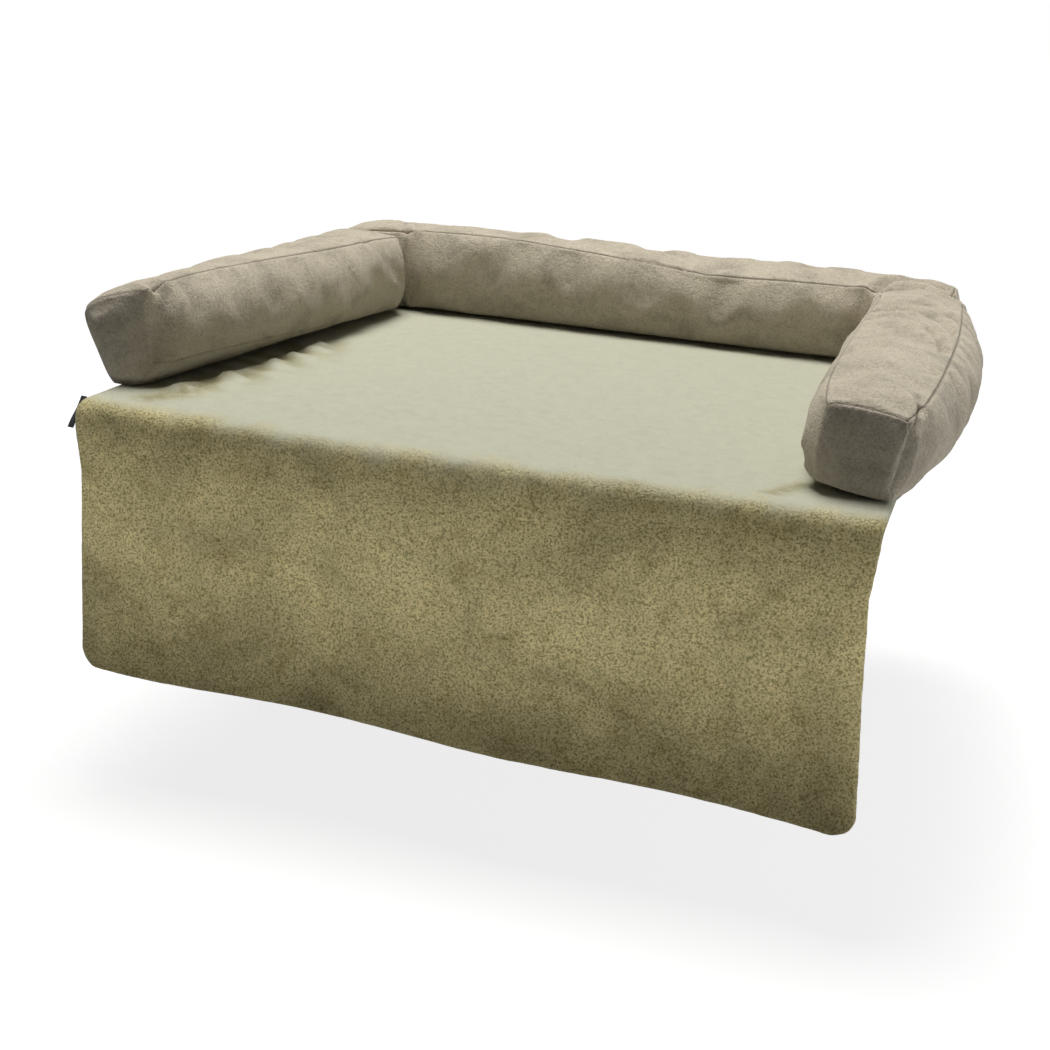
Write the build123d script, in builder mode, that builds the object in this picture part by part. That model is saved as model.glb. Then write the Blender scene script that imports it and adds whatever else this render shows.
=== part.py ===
from build123d import *
from math import atan2, cos, degrees, radians, sin
import os

# Sofa-top orthopaedic dog bed: a foam mat with a plush top, three foam bolsters
# in a U on it, and a plush flap that hangs from the mat's front edge.
# +X is the bed's right, +Y its back, +Z up. The origin is the centre of the
# mat's flat underside. Lengths are in millimetres, angles in degrees.

os.makedirs("parts", exist_ok=True)

# Mat
mat_width = 1000.0
mat_depth = 900.0
mat_thickness = 50.0
mat_corner_radius = 30.0
plush_thickness = 4.0
wadding_thickness = 3.0
lining_thickness = 1.5
suede_thickness = 2.0
base_thickness = 2.5
layer_gap = 0.3
core_gap = 0.5
band_bulge = 3.0
foam_split_share = 0.5
overrun = 60.0

# Crown of the open seat between the bolsters
crown_side_margin = 1.0
crown_front_margin = 20.0
crown_rear_margin = 15.0
crown_height = 6.5
crown_corner = 200.0
crown_inset = 220.0
crown_height_shares = (0.7, 1.0)
crown_inset_shares = (0.45, 1.0)
bow_facets = 5

# Front fold and hanging flap: widths are shares of the mat's half width, heights
# shares of the flap's drop below the fold's centre
fold_radius = 35.0
fold_side_inset = 3.0
flap_drop = 338.0
flap_overrun = 40.0
flap_level_shares = (0.0, 0.06, 0.27, 0.6, 1.1)
flap_knot_shares = (-1.0, -0.556, -0.093, 0.389, 1.0)
flap_wave = 9.0
flap_wave_shares = (0.01, 0.01, 0.4, 0.8, 1.0)
flap_wave_signs = (-1, 1, -1, 1)
flap_swing = 26.0
flap_swing_shares = (0.0, 0.1, 0.15, 0.3, 1.0)
flap_hem_inset = 5.0
flap_lining_inset = 1.0
flap_left_edge_shares = ((-0.982, 0.846), (-0.982, 0.163))
flap_top_shares = (-0.998, 0.986)
flap_right_edge_shares = ((0.974, 0.163), (1.008, 0.893))
flap_hem_shares = ((-0.922, 0.929), (-0.6, 0.941), (-0.12, 0.959), (0.32, 0.964), (0.66, 0.985),
                   (0.936, 1.0))
flap_left_corner_share = (-0.965, 0.905)
flap_right_corner_share = (0.99, 0.97)

# Blank label in the left side seam of the fold
label_length = 40.0
label_reach = 8.0
label_thickness = 1.0
label_tilt = 45.0

# Bolsters: a box section on the mat's edge. Each one's tables run through its
# stations: places along it, how far its outer bottom seam overhangs the mat's
# edge, its widths, heights and crowns as shares of the sizes below, and the
# angle by which the section leans outward about that seam.
bolster_width = 117.0
bolster_height = 118.0
bolster_crown = 10.0
back_setback = 18.0
left_arm_setback = 75.0
right_arm_setback = 32.0
rest_depth = 0.5
seam_gap = 0.2
end_dome = 8.0
pressed_dome = 4.0
dome_inset = 18.0
dome_height_shares = (0.55, 0.85, 1.0)
dome_inset_shares = (0.22, 0.5, 1.0)
stops_each = 3

left_place_shares = (0.0, 0.11, 0.331, 0.625, 0.89, 1.0)
left_overhang_shares = (0.043, 0.034, 0.0, -0.026, -0.034, -0.034)
left_top_width_shares = (0.795, 0.889, 0.957, 0.991, 1.0, 0.983)
left_bottom_width_shares = (0.581, 0.803, 0.923, 0.974, 1.0, 0.983)
left_outer_height_shares = (0.833, 0.903, 0.947, 0.971, 0.985, 0.992)
left_inner_height_shares = (0.816, 0.886, 0.93, 0.962, 0.993, 1.0)
left_leans = (25.0, 22.0, 16.0, 9.0, 4.0, 2.0)
left_outer_crown_shares = (0.4, 0.9, 1.2, 1.2, 0.9, 0.5)
left_top_crown_shares = (0.7, 0.9, 0.9, 0.9, 0.8, 0.5)
left_inner_crown_shares = (0.4, 0.8, 1.0, 1.0, 0.8, 0.4)
left_bottom_crown_shares = (1.2, 1.5, 1.4, 1.0, 0.7, 0.3)

right_place_shares = (0.0, 0.108, 0.329, 0.606, 0.883, 1.0)
right_overhang_shares = (-0.068, 0.094, 0.197, 0.205, 0.111, 0.017)
right_top_width_shares = (0.816, 1.009, 1.103, 1.111, 1.034, 1.0)
right_bottom_width_shares = (0.786, 0.974, 1.085, 1.094, 1.034, 1.0)
right_outer_height_shares = (0.839, 0.915, 0.958, 0.975, 0.992, 1.0)
right_inner_height_shares = (0.839, 0.915, 0.966, 0.992, 1.0, 1.0)
right_leans = (5.8, 3.5, 1.0, 0.5, 1.5, 3.0)
right_outer_crown_shares = (0.6, 2.2, 3.0, 3.2, 2.2, 0.8)
right_top_crown_shares = (0.4, 0.9, 1.0, 1.0, 0.9, 0.5)
right_inner_crown_shares = (1.0, 1.1, 1.1, 1.0, 0.8, 0.4)
right_bottom_crown_shares = (0.2, 0.4, 0.6, 0.6, 0.5, 0.3)

back_place_shares = (0.0, 0.063, 0.26, 0.445, 0.622, 0.774, 0.892, 1.0)
back_top_width_shares = (0.957, 1.0, 1.0, 1.0, 1.009, 1.009, 1.0, 0.957)
back_bottom_width_shares = (0.957, 1.0, 1.0, 1.0, 1.009, 1.009, 1.0, 0.957)
back_outer_height_shares = (0.983, 1.017, 1.025, 1.034, 1.034, 1.042, 1.042, 1.0)
back_inner_height_shares = (0.983, 1.034, 1.085, 1.008, 0.898, 0.932, 0.949, 0.966)
back_lean = 3.0
back_outer_crown_shares = (0.4, 0.9, 1.0, 1.0, 1.0, 1.0, 0.9, 0.4)
back_top_crown_shares = (0.4, 0.8, 0.9, 0.9, 0.9, 0.9, 0.9, 0.4)
back_inner_crown_shares = (0.4, 0.8, 0.9, 0.9, 0.9, 0.9, 0.8, 0.4)
back_bottom_crown_shares = (0.2, 0.4, 0.5, 0.5, 0.5, 0.5, 0.5, 0.2)

# Zips
zip_slot_width = 22.0
zip_recess = 1.0
zip_height_share = 0.2
zip_tape_thickness = 1.2
zip_coil_width = 5.0
zip_coil_height = 2.0
zip_running_gap = 0.4
zip_end_margin = 6.0
zip_core_relief = 0.6
mat_zip_length = 600.0
back_zip_length = 640.0
arm_zip_length = 200.0
arm_zip_rear_margin = 55.0
slider_length = 11.0
slider_width = 9.0
slider_height = 3.4
bridge_length = 8.6
bridge_width = 2.4
bridge_thickness = 1.2
bridge_opening = 2.2
pull_bar = 1.5
pull_window_length = 5.6
pull_window_width = 3.4
pull_rail = 1.8
pull_length = 26.0
pull_thickness = 1.2
pull_corner_radius = 2.0

half_width = mat_width / 2
half_depth = mat_depth / 2
fold_start_y = -half_depth
fold_centre_z = mat_thickness - fold_radius
flap_face_y = fold_start_y - fold_radius
wadding_inset = plush_thickness + layer_gap
lining_inset = wadding_inset + wadding_thickness + layer_gap
fold_stack = lining_inset + lining_thickness + layer_gap
body_front_y = flap_face_y + fold_stack
foam_top = mat_thickness - plush_thickness - layer_gap
foam_split_z = base_thickness + foam_split_share * (foam_top - base_thickness)
band_top = mat_thickness - plush_thickness
side_x = half_width - band_bulge
crown_front_y = fold_start_y + crown_front_margin
crown_rear_y = half_depth - back_setback - bolster_width - crown_rear_margin
crown_width = mat_width - 2 * bolster_width - 2 * crown_side_margin


def keep(piece, label):
    piece.label = label
    export_step(piece, "parts/" + label + ".step")


def mat_body(inset):
    """The mat's block with a quarter-round front edge, inset from its outer sides."""
    front_radius = fold_radius - fold_stack - inset
    with BuildPart() as body:
        with BuildSketch(Plane.YZ):
            with BuildLine():
                front = Line((fold_start_y - front_radius, base_thickness),
                             (fold_start_y - front_radius, fold_centre_z))
                rounding = JernArc(front @ 1, front % 1, front_radius, -90)
                Polyline(rounding @ 1, (fold_start_y, foam_top), (half_depth - inset, foam_top),
                         (half_depth - inset, base_thickness), front @ 0)
            make_face()
        extrude(amount=half_width - inset, both=True)
        rear_edges = body.edges().filter_by(Axis.Z).group_by(Axis.Y)[-1]
        fillet(rear_edges, radius=mat_corner_radius - inset)
    return body.part


def bowed(start, end, outward, bow):
    """Points from start to end on a curve that stands off by bow in its middle."""
    shares = [i / bow_facets for i in range(bow_facets + 1)]
    return [start + (end - start) * share + outward * (4 * bow * share * (1 - share)) for share in shares]


def rounded_up(outline, heights, insets):
    """A low cap on an outline in the XY plane: tapered layers up to each height and inset."""
    with BuildPart() as cap:
        add(outline)
        height, inset = 0, 0
        for next_height, next_inset in zip(heights, insets):
            slant = degrees(atan2(next_inset - inset, next_height - height))
            extrude(amount=next_height - height, taper=slant)
            add(cap.faces().sort_by(Axis.Z)[-1])
            height, inset = next_height, next_inset
    return cap.part


def crown(drop):
    """The seat's shallow pillow, lowered by drop from the plush surface."""
    with BuildSketch() as outline:
        Rectangle(crown_width, crown_rear_y - crown_front_y)
        chamfer(vertices(), crown_corner)
    pillow = rounded_up(outline.sketch, [share * crown_height for share in crown_height_shares],
                        [share * crown_inset for share in crown_inset_shares])
    return pillow.moved(Location((0, (crown_front_y + crown_rear_y) / 2, mat_thickness - drop)))


with BuildPart() as seat_plush_cover:
    with BuildSketch(Plane.XY.offset(band_top)):
        with BuildLine():
            Polyline((-half_width, fold_start_y), (half_width, fold_start_y), (half_width, half_depth),
                     (-half_width, half_depth), (-half_width, fold_start_y))
        make_face()
        rear_corners = vertices().group_by(Axis.Y)[-1]
        fillet(rear_corners, radius=mat_corner_radius)
    extrude(amount=plush_thickness)
    add(crown(0))
    add(crown(plush_thickness), mode=Mode.SUBTRACT)
keep(seat_plush_cover.part, "seat_plush_cover")

foam_inset = band_bulge + suede_thickness + layer_gap
with BuildPart() as mat_memory_foam:
    add(mat_body(foam_inset))
    with Locations((0, 0, foam_split_z)):
        Box(mat_width, 2 * mat_depth, mat_thickness, align=(Align.CENTER, Align.CENTER, Align.MAX),
            mode=Mode.SUBTRACT)
    add(crown(plush_thickness + layer_gap))
keep(mat_memory_foam.part, "mat_memory_foam")

with BuildPart() as mat_support_foam:
    add(mat_body(foam_inset))
    with Locations((0, 0, foam_split_z)):
        Box(mat_width, 2 * mat_depth, mat_thickness, align=(Align.CENTER, Align.CENTER, Align.MIN),
            mode=Mode.SUBTRACT)
keep(mat_support_foam.part, "mat_support_foam")

with BuildPart() as mat_base_cover:
    with BuildSketch():
        with BuildLine():
            Polyline((-half_width, body_front_y), (half_width, body_front_y), (half_width, half_depth),
                     (-half_width, half_depth), (-half_width, body_front_y))
        make_face()
        rear_corners = vertices().group_by(Axis.Y)[-1]
        fillet(rear_corners, radius=mat_corner_radius)
    extrude(amount=base_thickness)
keep(mat_base_cover.part, "mat_base_cover")

mat_zip_plane = Plane(origin=(0, half_depth - zip_recess, (base_thickness + band_top) / 2),
                      x_dir=(-1, 0, 0), z_dir=(0, 1, 0))


def zip_slot(plane, length, reach):
    """The slit in a cover for a zip: reach is how far it goes in below the tapes' face."""
    with BuildPart(plane) as slot:
        with Locations((0, 0, -reach)):
            Box(length, zip_slot_width, overrun, align=(Align.CENTER, Align.CENTER, Align.MIN))
    return slot.part


with BuildPart() as mat_side_band:
    band_height = band_top - base_thickness
    rear_y = half_depth - band_bulge
    turn_radius = mat_corner_radius - band_bulge
    with BuildLine() as band_path:
        Polyline((-side_x, body_front_y), (-side_x, rear_y), (side_x, rear_y), (side_x, body_front_y))
        fillet(band_path.vertices().group_by(Axis.Y)[-1], radius=turn_radius)
    band_start = (-side_x, body_front_y, base_thickness)
    with BuildSketch(Plane(origin=band_start, x_dir=(-1, 0, 0), z_dir=(0, 1, 0))):
        with BuildLine():
            Polyline((0, 0), (-suede_thickness, 0), (-suede_thickness, band_height), (0, band_height))
            ThreePointArc((0, band_height), (band_bulge, band_height / 2), (0, 0))
        make_face()
    sweep(path=band_path.wires()[0])
    add(mat_body(0), mode=Mode.INTERSECT)
    with Locations((0, body_front_y, base_thickness)):
        Box(2 * side_x, suede_thickness, fold_centre_z - base_thickness - layer_gap,
            align=(Align.CENTER, Align.MIN, Align.MIN))
    add(zip_slot(mat_zip_plane, mat_zip_length, zip_tape_thickness + suede_thickness + band_bulge),
        mode=Mode.SUBTRACT)
keep(mat_side_band.part, "mat_side_band")


def fold_layer(outer_radius, thickness, side_inset, label):
    """One layer of the front fold: a quarter tube along X, drawn in at its right end."""
    with BuildPart() as layer:
        with BuildSketch(Plane(origin=(0, fold_start_y, fold_centre_z), x_dir=(0, 1, 0), z_dir=(1, 0, 0))):
            with BuildLine():
                outer = CenterArc((0, 0), outer_radius, 90, 90)
                inner = CenterArc((0, 0), outer_radius - thickness, 90, 90)
                Line(outer @ 0, inner @ 0)
                Line(outer @ 1, inner @ 1)
            make_face()
        extrude(amount=half_width - side_inset, both=True)
        with BuildSketch(Plane.XZ):
            with BuildLine():
                Polyline((-half_width, fold_centre_z), (-half_width, mat_thickness),
                         (half_width - side_inset, mat_thickness),
                         (flap_top_shares[1] * half_width - side_inset, fold_centre_z), close=True)
            make_face()
        extrude(amount=mat_depth, both=True, mode=Mode.INTERSECT)
    keep(layer.part, label)


fold_layer(fold_radius, plush_thickness, 0, "fold_plush")
fold_layer(fold_radius - wadding_inset, wadding_thickness, fold_side_inset, "fold_wadding")
fold_layer(fold_radius - lining_inset, lining_thickness, fold_side_inset, "fold_lining")


def flap_outline(side_inset):
    """The flap's cut shape seen from the front, inset at its sides and hem."""
    def place(shares, inward):
        across_share, drop_share = shares
        return (across_share * half_width + inward * side_inset,
                fold_centre_z - drop_share * flap_drop + side_inset)

    hem = [place(shares, 0) for shares in flap_hem_shares]
    left = [place(shares, 1) for shares in flap_left_edge_shares]
    right = [place(shares, -1) for shares in flap_right_edge_shares]
    top_left = flap_top_shares[0] * half_width + side_inset
    top_right = flap_top_shares[1] * half_width - side_inset
    top_z = fold_centre_z - layer_gap
    with BuildPart() as outline:
        with BuildSketch(Plane.XZ):
            with BuildLine():
                Polyline(*left, (top_left, top_z), (top_right, top_z), *right)
                Spline(*hem)
                ThreePointArc(left[0], place(flap_left_corner_share, 1), hem[0])
                ThreePointArc(hem[-1], place(flap_right_corner_share, -1), right[-1])
            make_face()
        extrude(amount=mat_depth, both=True)
    return outline.part


def flap_layer(depth, thickness, side_inset, label):
    """One layer of the flap: straight at the fold, in soft folds towards its hem."""
    xs = [knot_share * (half_width + flap_overrun) for knot_share in flap_knot_shares]
    to_back = Vector(0, 1)
    with BuildPart() as layer:
        for level_share, wave_share in zip(flap_level_shares, flap_wave_shares):
            ys = [flap_face_y + depth - level_share * level_share * swing_share * flap_swing
                  for swing_share in flap_swing_shares]
            face_points = [Vector(xs[0], ys[0])]
            for i, sign in enumerate(flap_wave_signs):
                face_points += bowed(Vector(xs[i], ys[i]), Vector(xs[i + 1], ys[i + 1]), to_back,
                                     sign * wave_share * flap_wave)[1:]
            back_points = [point + to_back * thickness for point in reversed(face_points)]
            with BuildSketch(Plane.XY.offset(fold_centre_z - level_share * flap_drop)):
                with BuildLine():
                    Polyline(*face_points, *back_points, close=True)
                make_face()
        loft(ruled=True)
        add(flap_outline(side_inset), mode=Mode.INTERSECT)
    keep(layer.part, label)


flap_layer(0, plush_thickness, 0, "flap_plush")
flap_layer(wadding_inset, wadding_thickness, flap_hem_inset, "flap_wadding")
flap_layer(lining_inset, lining_thickness, flap_lining_inset, "flap_lining")

label_origin = (-half_width - layer_gap, fold_start_y - fold_radius / 2, mat_thickness - fold_radius / 2)
label_plane = Plane(origin=label_origin, x_dir=(-1, 0, 0),
                    z_dir=(0, -sin(radians(label_tilt)), cos(radians(label_tilt))))
with BuildPart(label_plane) as side_label:
    Box(label_reach, label_length, label_thickness, align=(Align.MIN, Align.CENTER, Align.CENTER))
keep(side_label.part, "side_label")


def blend_value(stations, values, along):
    """Value at along on a smooth curve through the values at the stations."""
    last = len(stations) - 1

    def slope(k):
        before, after = max(k - 1, 0), min(k + 1, last)
        return (values[after] - values[before]) / (stations[after] - stations[before])

    i = max(k for k in range(last) if k == 0 or stations[k] <= along)
    step = stations[i + 1] - stations[i]
    t = (along - stations[i]) / step
    at_start = (1 - t) ** 2 * ((1 + 2 * t) * values[i] + t * step * slope(i))
    at_end = t ** 2 * ((3 - 2 * t) * values[i + 1] - (1 - t) * step * slope(i + 1))
    return at_start + at_end


class Bolster:
    """A box-section bolster: four crowned side panels, two end panels and a foam core."""

    def __init__(self, prefix, side, first, last, edge, place_shares, overhang_shares, leans,
                 width_shares, height_shares, crown_shares):
        self.prefix = prefix
        self.side = side
        self.plane_sense = -1 if side else 1
        self.along = [first + share * (last - first) for share in place_shares]
        self.stops = [start + i / stops_each * (end - start)
                      for start, end in zip(self.along, self.along[1:]) for i in range(stops_each)]
        self.stops.append(last)
        self.offsets = [edge + share * bolster_width for share in overhang_shares]
        self.leans = leans
        self.widths = [[share * bolster_width for share in shares] for shares in width_shares]
        self.heights = [[share * bolster_height for share in shares] for shares in height_shares]
        self.crowns = [[share * bolster_crown for share in shares] for shares in crown_shares]

    def plane(self, along):
        if self.side:
            return Plane(origin=(0, along, mat_thickness), x_dir=(1, 0, 0), z_dir=(0, -1, 0))
        return Plane(origin=(along, 0, mat_thickness), x_dir=(0, 1, 0), z_dir=(1, 0, 0))

    def flip(self, point):
        return Vector(point.X * (self.side or 1), point.Y)

    def section(self, along):
        """Corners (outer bottom, outer top, inner top, inner bottom) and crowns of one section."""
        top_width, bottom_width = [blend_value(self.along, table, along) for table in self.widths]
        outer_height, inner_height = [blend_value(self.along, table, along) for table in self.heights]
        crowns = [blend_value(self.along, table, along) for table in self.crowns]
        offset = blend_value(self.along, self.offsets, along)
        tilt = radians(blend_value(self.along, self.leans, along))
        up = Vector(sin(tilt), cos(tilt))
        inward = Vector(-cos(tilt), sin(tilt))
        slope = bottom_width * sin(tilt)
        belly = 4 * crowns[3] * cos(tilt)
        low_share = (belly - slope) / (2 * belly)
        lift = max(0, belly * low_share * low_share - rest_depth) if low_share > 0 else 0
        foot = Vector(offset, lift)
        corners = (foot, foot + up * outer_height, foot + inward * top_width + up * inner_height,
                   foot + inward * bottom_width)
        return corners, crowns

    def mitre(self, corners, i, depth):
        """Step from corner i to where its two sides meet once both are depth further in."""
        after = (corners[(i + 1) % 4] - corners[i]).normalized()
        before = (corners[i - 1] - corners[i]).normalized()
        return (after + before) * (depth / after.cross(before).length)

    def side_points(self, corners, crowns, i):
        """Crowned side from corner i to the next."""
        start, end = corners[i], corners[(i + 1) % 4]
        run = (end - start).normalized()
        return bowed(start, end, Vector(run.Y, -run.X), crowns[i])

    def outline(self, along, inset, plane):
        """The section at along, inset by a thickness, as a face on the plane."""
        corners, crowns = self.section(along)
        corners = [corners[i] + self.mitre(corners, i, inset) for i in range(4)]
        points = []
        for i in range(4):
            points += [self.flip(point) for point in self.side_points(corners, crowns, i)[:-1]]
        if self.side < 0:
            points.reverse()
        with BuildSketch(plane) as sketch:
            with BuildLine():
                Polyline(*points, close=True)
            make_face()
        return sketch.sketch

    def side_panel(self, index, trims, label):
        """Crowned panel number index, lofted through every station, with gaps at its seams."""
        with BuildPart() as panel:
            for i, along in enumerate(self.stops):
                corners, crowns = self.section(along)
                start, end = corners[index], corners[(index + 1) % 4]
                run = (end - start).normalized()
                outward = Vector(run.Y, -run.X)
                a = start + run * seam_gap
                b = end - run * seam_gap
                c = b + self.mitre(corners, (index + 1) % 4, suede_thickness)
                d = a + self.mitre(corners, index, suede_thickness)
                here = along
                if i == 0:
                    here = along + layer_gap
                elif along == self.stops[-1]:
                    here = along - layer_gap
                points = bowed(a, b, outward, crowns[index]) + bowed(c, d, outward, crowns[index])
                with BuildSketch(self.plane(here)):
                    with BuildLine():
                        Polyline(*[self.flip(point) for point in points], close=True)
                    make_face()
            loft(ruled=True)
            for trim in trims:
                add(trim, mode=Mode.SUBTRACT)
        keep(panel.part, self.prefix + label)

    def dome(self, end, height, inset):
        """Domed end volume on the first (-1) or last (1) station."""
        along = self.along[0] if end < 0 else self.along[-1]
        volume = rounded_up(self.outline(along, inset, Plane.XY),
                            [share * (height - inset) for share in dome_height_shares],
                            [share * dome_inset for share in dome_inset_shares])
        if end * self.plane_sense < 0:
            volume = volume.mirror(Plane.XY)
        return volume.moved(self.plane(along).location)

    def end_panel(self, end, height, trims, label):
        outside = self.dome(end, height, 0)
        inside = self.dome(end, height, suede_thickness)
        with BuildPart() as panel:
            add(outside)
            add(inside, mode=Mode.SUBTRACT)
            for trim in trims:
                add(trim, mode=Mode.SUBTRACT)
        keep(panel.part, self.prefix + label)

    def foam_core(self, first_dome, last_dome, trims):
        inset = suede_thickness + core_gap
        rings = [self.outline(along, inset, self.plane(along)) for along in self.stops]
        ends = [self.dome(-1, first_dome, inset), self.dome(1, last_dome, inset)]
        with BuildPart() as core:
            loft(sections=rings, ruled=True)
            add(ends)
            for trim in trims:
                add(trim, mode=Mode.SUBTRACT)
        keep(core.part, self.prefix + "foam_core")

    def inner_reach(self):
        """How near its inner side comes to the bed's centre, crown included."""
        reaches = []
        for along in self.stops:
            corners, crowns = self.section(along)
            reaches += [point.X for point in self.side_points(corners, crowns, 2)]
        return min(reaches)

    def outer_point(self, along):
        """Point of the outer side at the zip's height, and the surface's outward direction."""
        corners, crowns = self.section(along)
        start, end = corners[0], corners[1]
        run = end - start
        outward = Vector(run.Y, -run.X).normalized()
        share = zip_height_share
        bow = 4 * crowns[0] * share * (1 - share)
        bow_slope = 4 * crowns[0] * (1 - 2 * share)
        point = self.flip(start + run * share + outward * bow)
        facing = self.flip((outward * run.length - run.normalized() * bow_slope).normalized())
        plane = self.plane(along)
        return plane.from_local_coords(point), plane.x_dir * facing.X + Vector(0, 0, facing.Y)

    def zip_plane(self, start, end):
        """Plane on the outer side: x along the zip, z outward, sunk to the tapes' face."""
        first, first_facing = self.outer_point(start)
        last, last_facing = self.outer_point(end)
        x_dir = (last - first).normalized()
        z_dir = (first_facing + last_facing).normalized()
        z_dir = (z_dir - x_dir * z_dir.dot(x_dir)).normalized()
        return Plane(origin=(first + last) * (1 / 2) - z_dir * zip_recess, x_dir=x_dir, z_dir=z_dir)


def zip_set(prefix, plane, length):
    """Two tapes, the closed coil, the slider and its pull; the slider rests near +x."""
    half_slot = zip_slot_width / 2 - layer_gap
    run = length - 2 * layer_gap
    for sign, label in ((1, "zip_tape_upper"), (-1, "zip_tape_lower")):
        with BuildPart(plane) as tape:
            with Locations((0, sign * layer_gap / 2, 0)):
                Box(run, half_slot - layer_gap / 2, zip_tape_thickness,
                    align=(Align.CENTER, Align.MIN if sign > 0 else Align.MAX, Align.MAX))
        keep(tape.part, prefix + label)
    section_plane = Plane(origin=plane.origin, x_dir=plane.y_dir, z_dir=plane.x_dir)
    with BuildPart() as coil:
        with BuildSketch(section_plane):
            with BuildLine():
                base = Line((-zip_coil_width / 2, 0), (zip_coil_width / 2, 0))
                ThreePointArc(base @ 0, (0, zip_coil_height), base @ 1)
            make_face()
        extrude(amount=run / 2, both=True)
    keep(coil.part, prefix + "zip_coil")

    rest_x = length / 2 - zip_end_margin - slider_length / 2
    body_top = zip_running_gap + slider_height
    bar_z = body_top + zip_running_gap + pull_bar / 2
    with BuildPart(plane) as slider:
        with Locations((rest_x, 0, zip_running_gap)):
            Box(slider_length, slider_width, slider_height, align=(Align.CENTER, Align.CENTER, Align.MIN))
        with Locations((rest_x, 0, 0)):
            Box(2 * slider_length, zip_coil_width + 2 * zip_running_gap, zip_coil_height + zip_running_gap,
                align=(Align.CENTER, Align.CENTER, Align.MIN), mode=Mode.SUBTRACT)
        with Locations((rest_x, 0, body_top)):
            Box(bridge_length, bridge_width, bridge_opening + bridge_thickness,
                align=(Align.CENTER, Align.CENTER, Align.MIN))
            Box(bridge_length - 2 * bridge_thickness, 2 * bridge_width, bridge_opening,
                align=(Align.CENTER, Align.CENTER, Align.MIN), mode=Mode.SUBTRACT)
    keep(slider.part, prefix + "zip_slider")

    pull_width = pull_window_width + 2 * pull_rail
    pull_plane = Plane(origin=plane.from_local_coords(Vector(rest_x, 0, bar_z)), x_dir=plane.x_dir,
                       z_dir=plane.z_dir)
    with BuildPart() as pull:
        with BuildSketch(pull_plane):
            with Locations((-pull_bar / 2, 0)):
                Rectangle(pull_length, pull_width, align=(Align.MIN, Align.CENTER))
            fillet(vertices().group_by(Axis.X)[-1], radius=pull_corner_radius)
            with Locations((pull_bar / 2, 0)):
                Rectangle(pull_window_length, pull_window_width, align=(Align.MIN, Align.CENTER),
                          mode=Mode.SUBTRACT)
        extrude(amount=pull_thickness / 2, both=True)
    keep(pull.part, prefix + "zip_pull")
    return rest_x, bar_z


back_edge = half_depth - back_setback
back_reach = half_width - end_dome
level_stations = len(back_place_shares)
back = Bolster("back_", 0, -back_reach, back_reach, back_edge, back_place_shares,
               [0] * level_stations, [back_lean] * level_stations,
               (back_top_width_shares, back_bottom_width_shares),
               (back_outer_height_shares, back_inner_height_shares),
               (back_outer_crown_shares, back_top_crown_shares, back_inner_crown_shares,
                back_bottom_crown_shares))
arm_rear_y = back.inner_reach() - pressed_dome - layer_gap
left_arm = Bolster("left_arm_", -1, fold_start_y + left_arm_setback, arm_rear_y, half_width,
                   left_place_shares, left_overhang_shares, left_leans,
                   (left_top_width_shares, left_bottom_width_shares),
                   (left_outer_height_shares, left_inner_height_shares),
                   (left_outer_crown_shares, left_top_crown_shares, left_inner_crown_shares,
                    left_bottom_crown_shares))
right_arm = Bolster("right_arm_", 1, fold_start_y + right_arm_setback, arm_rear_y, half_width,
                    right_place_shares, right_overhang_shares, right_leans,
                    (right_top_width_shares, right_bottom_width_shares),
                    (right_outer_height_shares, right_inner_height_shares),
                    (right_outer_crown_shares, right_top_crown_shares, right_inner_crown_shares,
                     right_bottom_crown_shares))

arm_zip_end = arm_rear_y - arm_zip_rear_margin
arm_zip_start = arm_zip_end - arm_zip_length
bolster_plans = (
    (left_arm, left_arm.zip_plane(arm_zip_start, arm_zip_end), arm_zip_length, end_dome, pressed_dome,
     "front_panel", "rear_panel"),
    (right_arm, right_arm.zip_plane(arm_zip_start, arm_zip_end), arm_zip_length, end_dome, pressed_dome,
     "front_panel", "rear_panel"),
    (back, back.zip_plane(back_zip_length / 2, -back_zip_length / 2), back_zip_length, end_dome, end_dome,
     "left_panel", "right_panel"),
)
with BuildPart() as under_mat_top:
    with Locations((0, 0, mat_thickness)):
        Box(2 * mat_width, 2 * mat_depth, overrun, align=(Align.CENTER, Align.CENTER, Align.MAX))

for bolster, zip_place, zip_length, first_dome, last_dome, first_label, last_label in bolster_plans:
    floor_cut = under_mat_top.part
    slot_cut = zip_slot(zip_place, zip_length, zip_slot_width)
    core_cut = zip_slot(zip_place, zip_length, zip_tape_thickness + zip_core_relief)
    bolster.side_panel(0, [slot_cut, floor_cut], "outer_panel")
    bolster.side_panel(1, [], "top_panel")
    bolster.side_panel(2, [], "inner_panel")
    bolster.side_panel(3, [floor_cut], "bottom_panel")
    bolster.end_panel(-1, first_dome, [floor_cut], first_label)
    bolster.end_panel(1, last_dome, [floor_cut], last_label)
    bolster.foam_core(first_dome, last_dome, [core_cut])
    zip_set(bolster.prefix, zip_place, zip_length)
zip_set("mat_", mat_zip_plane, mat_zip_length)
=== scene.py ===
import math

import bmesh
import bpy
import numpy as np
from bpy.props import FloatProperty, FloatVectorProperty, PointerProperty
from mathutils import Matrix, Vector


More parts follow.
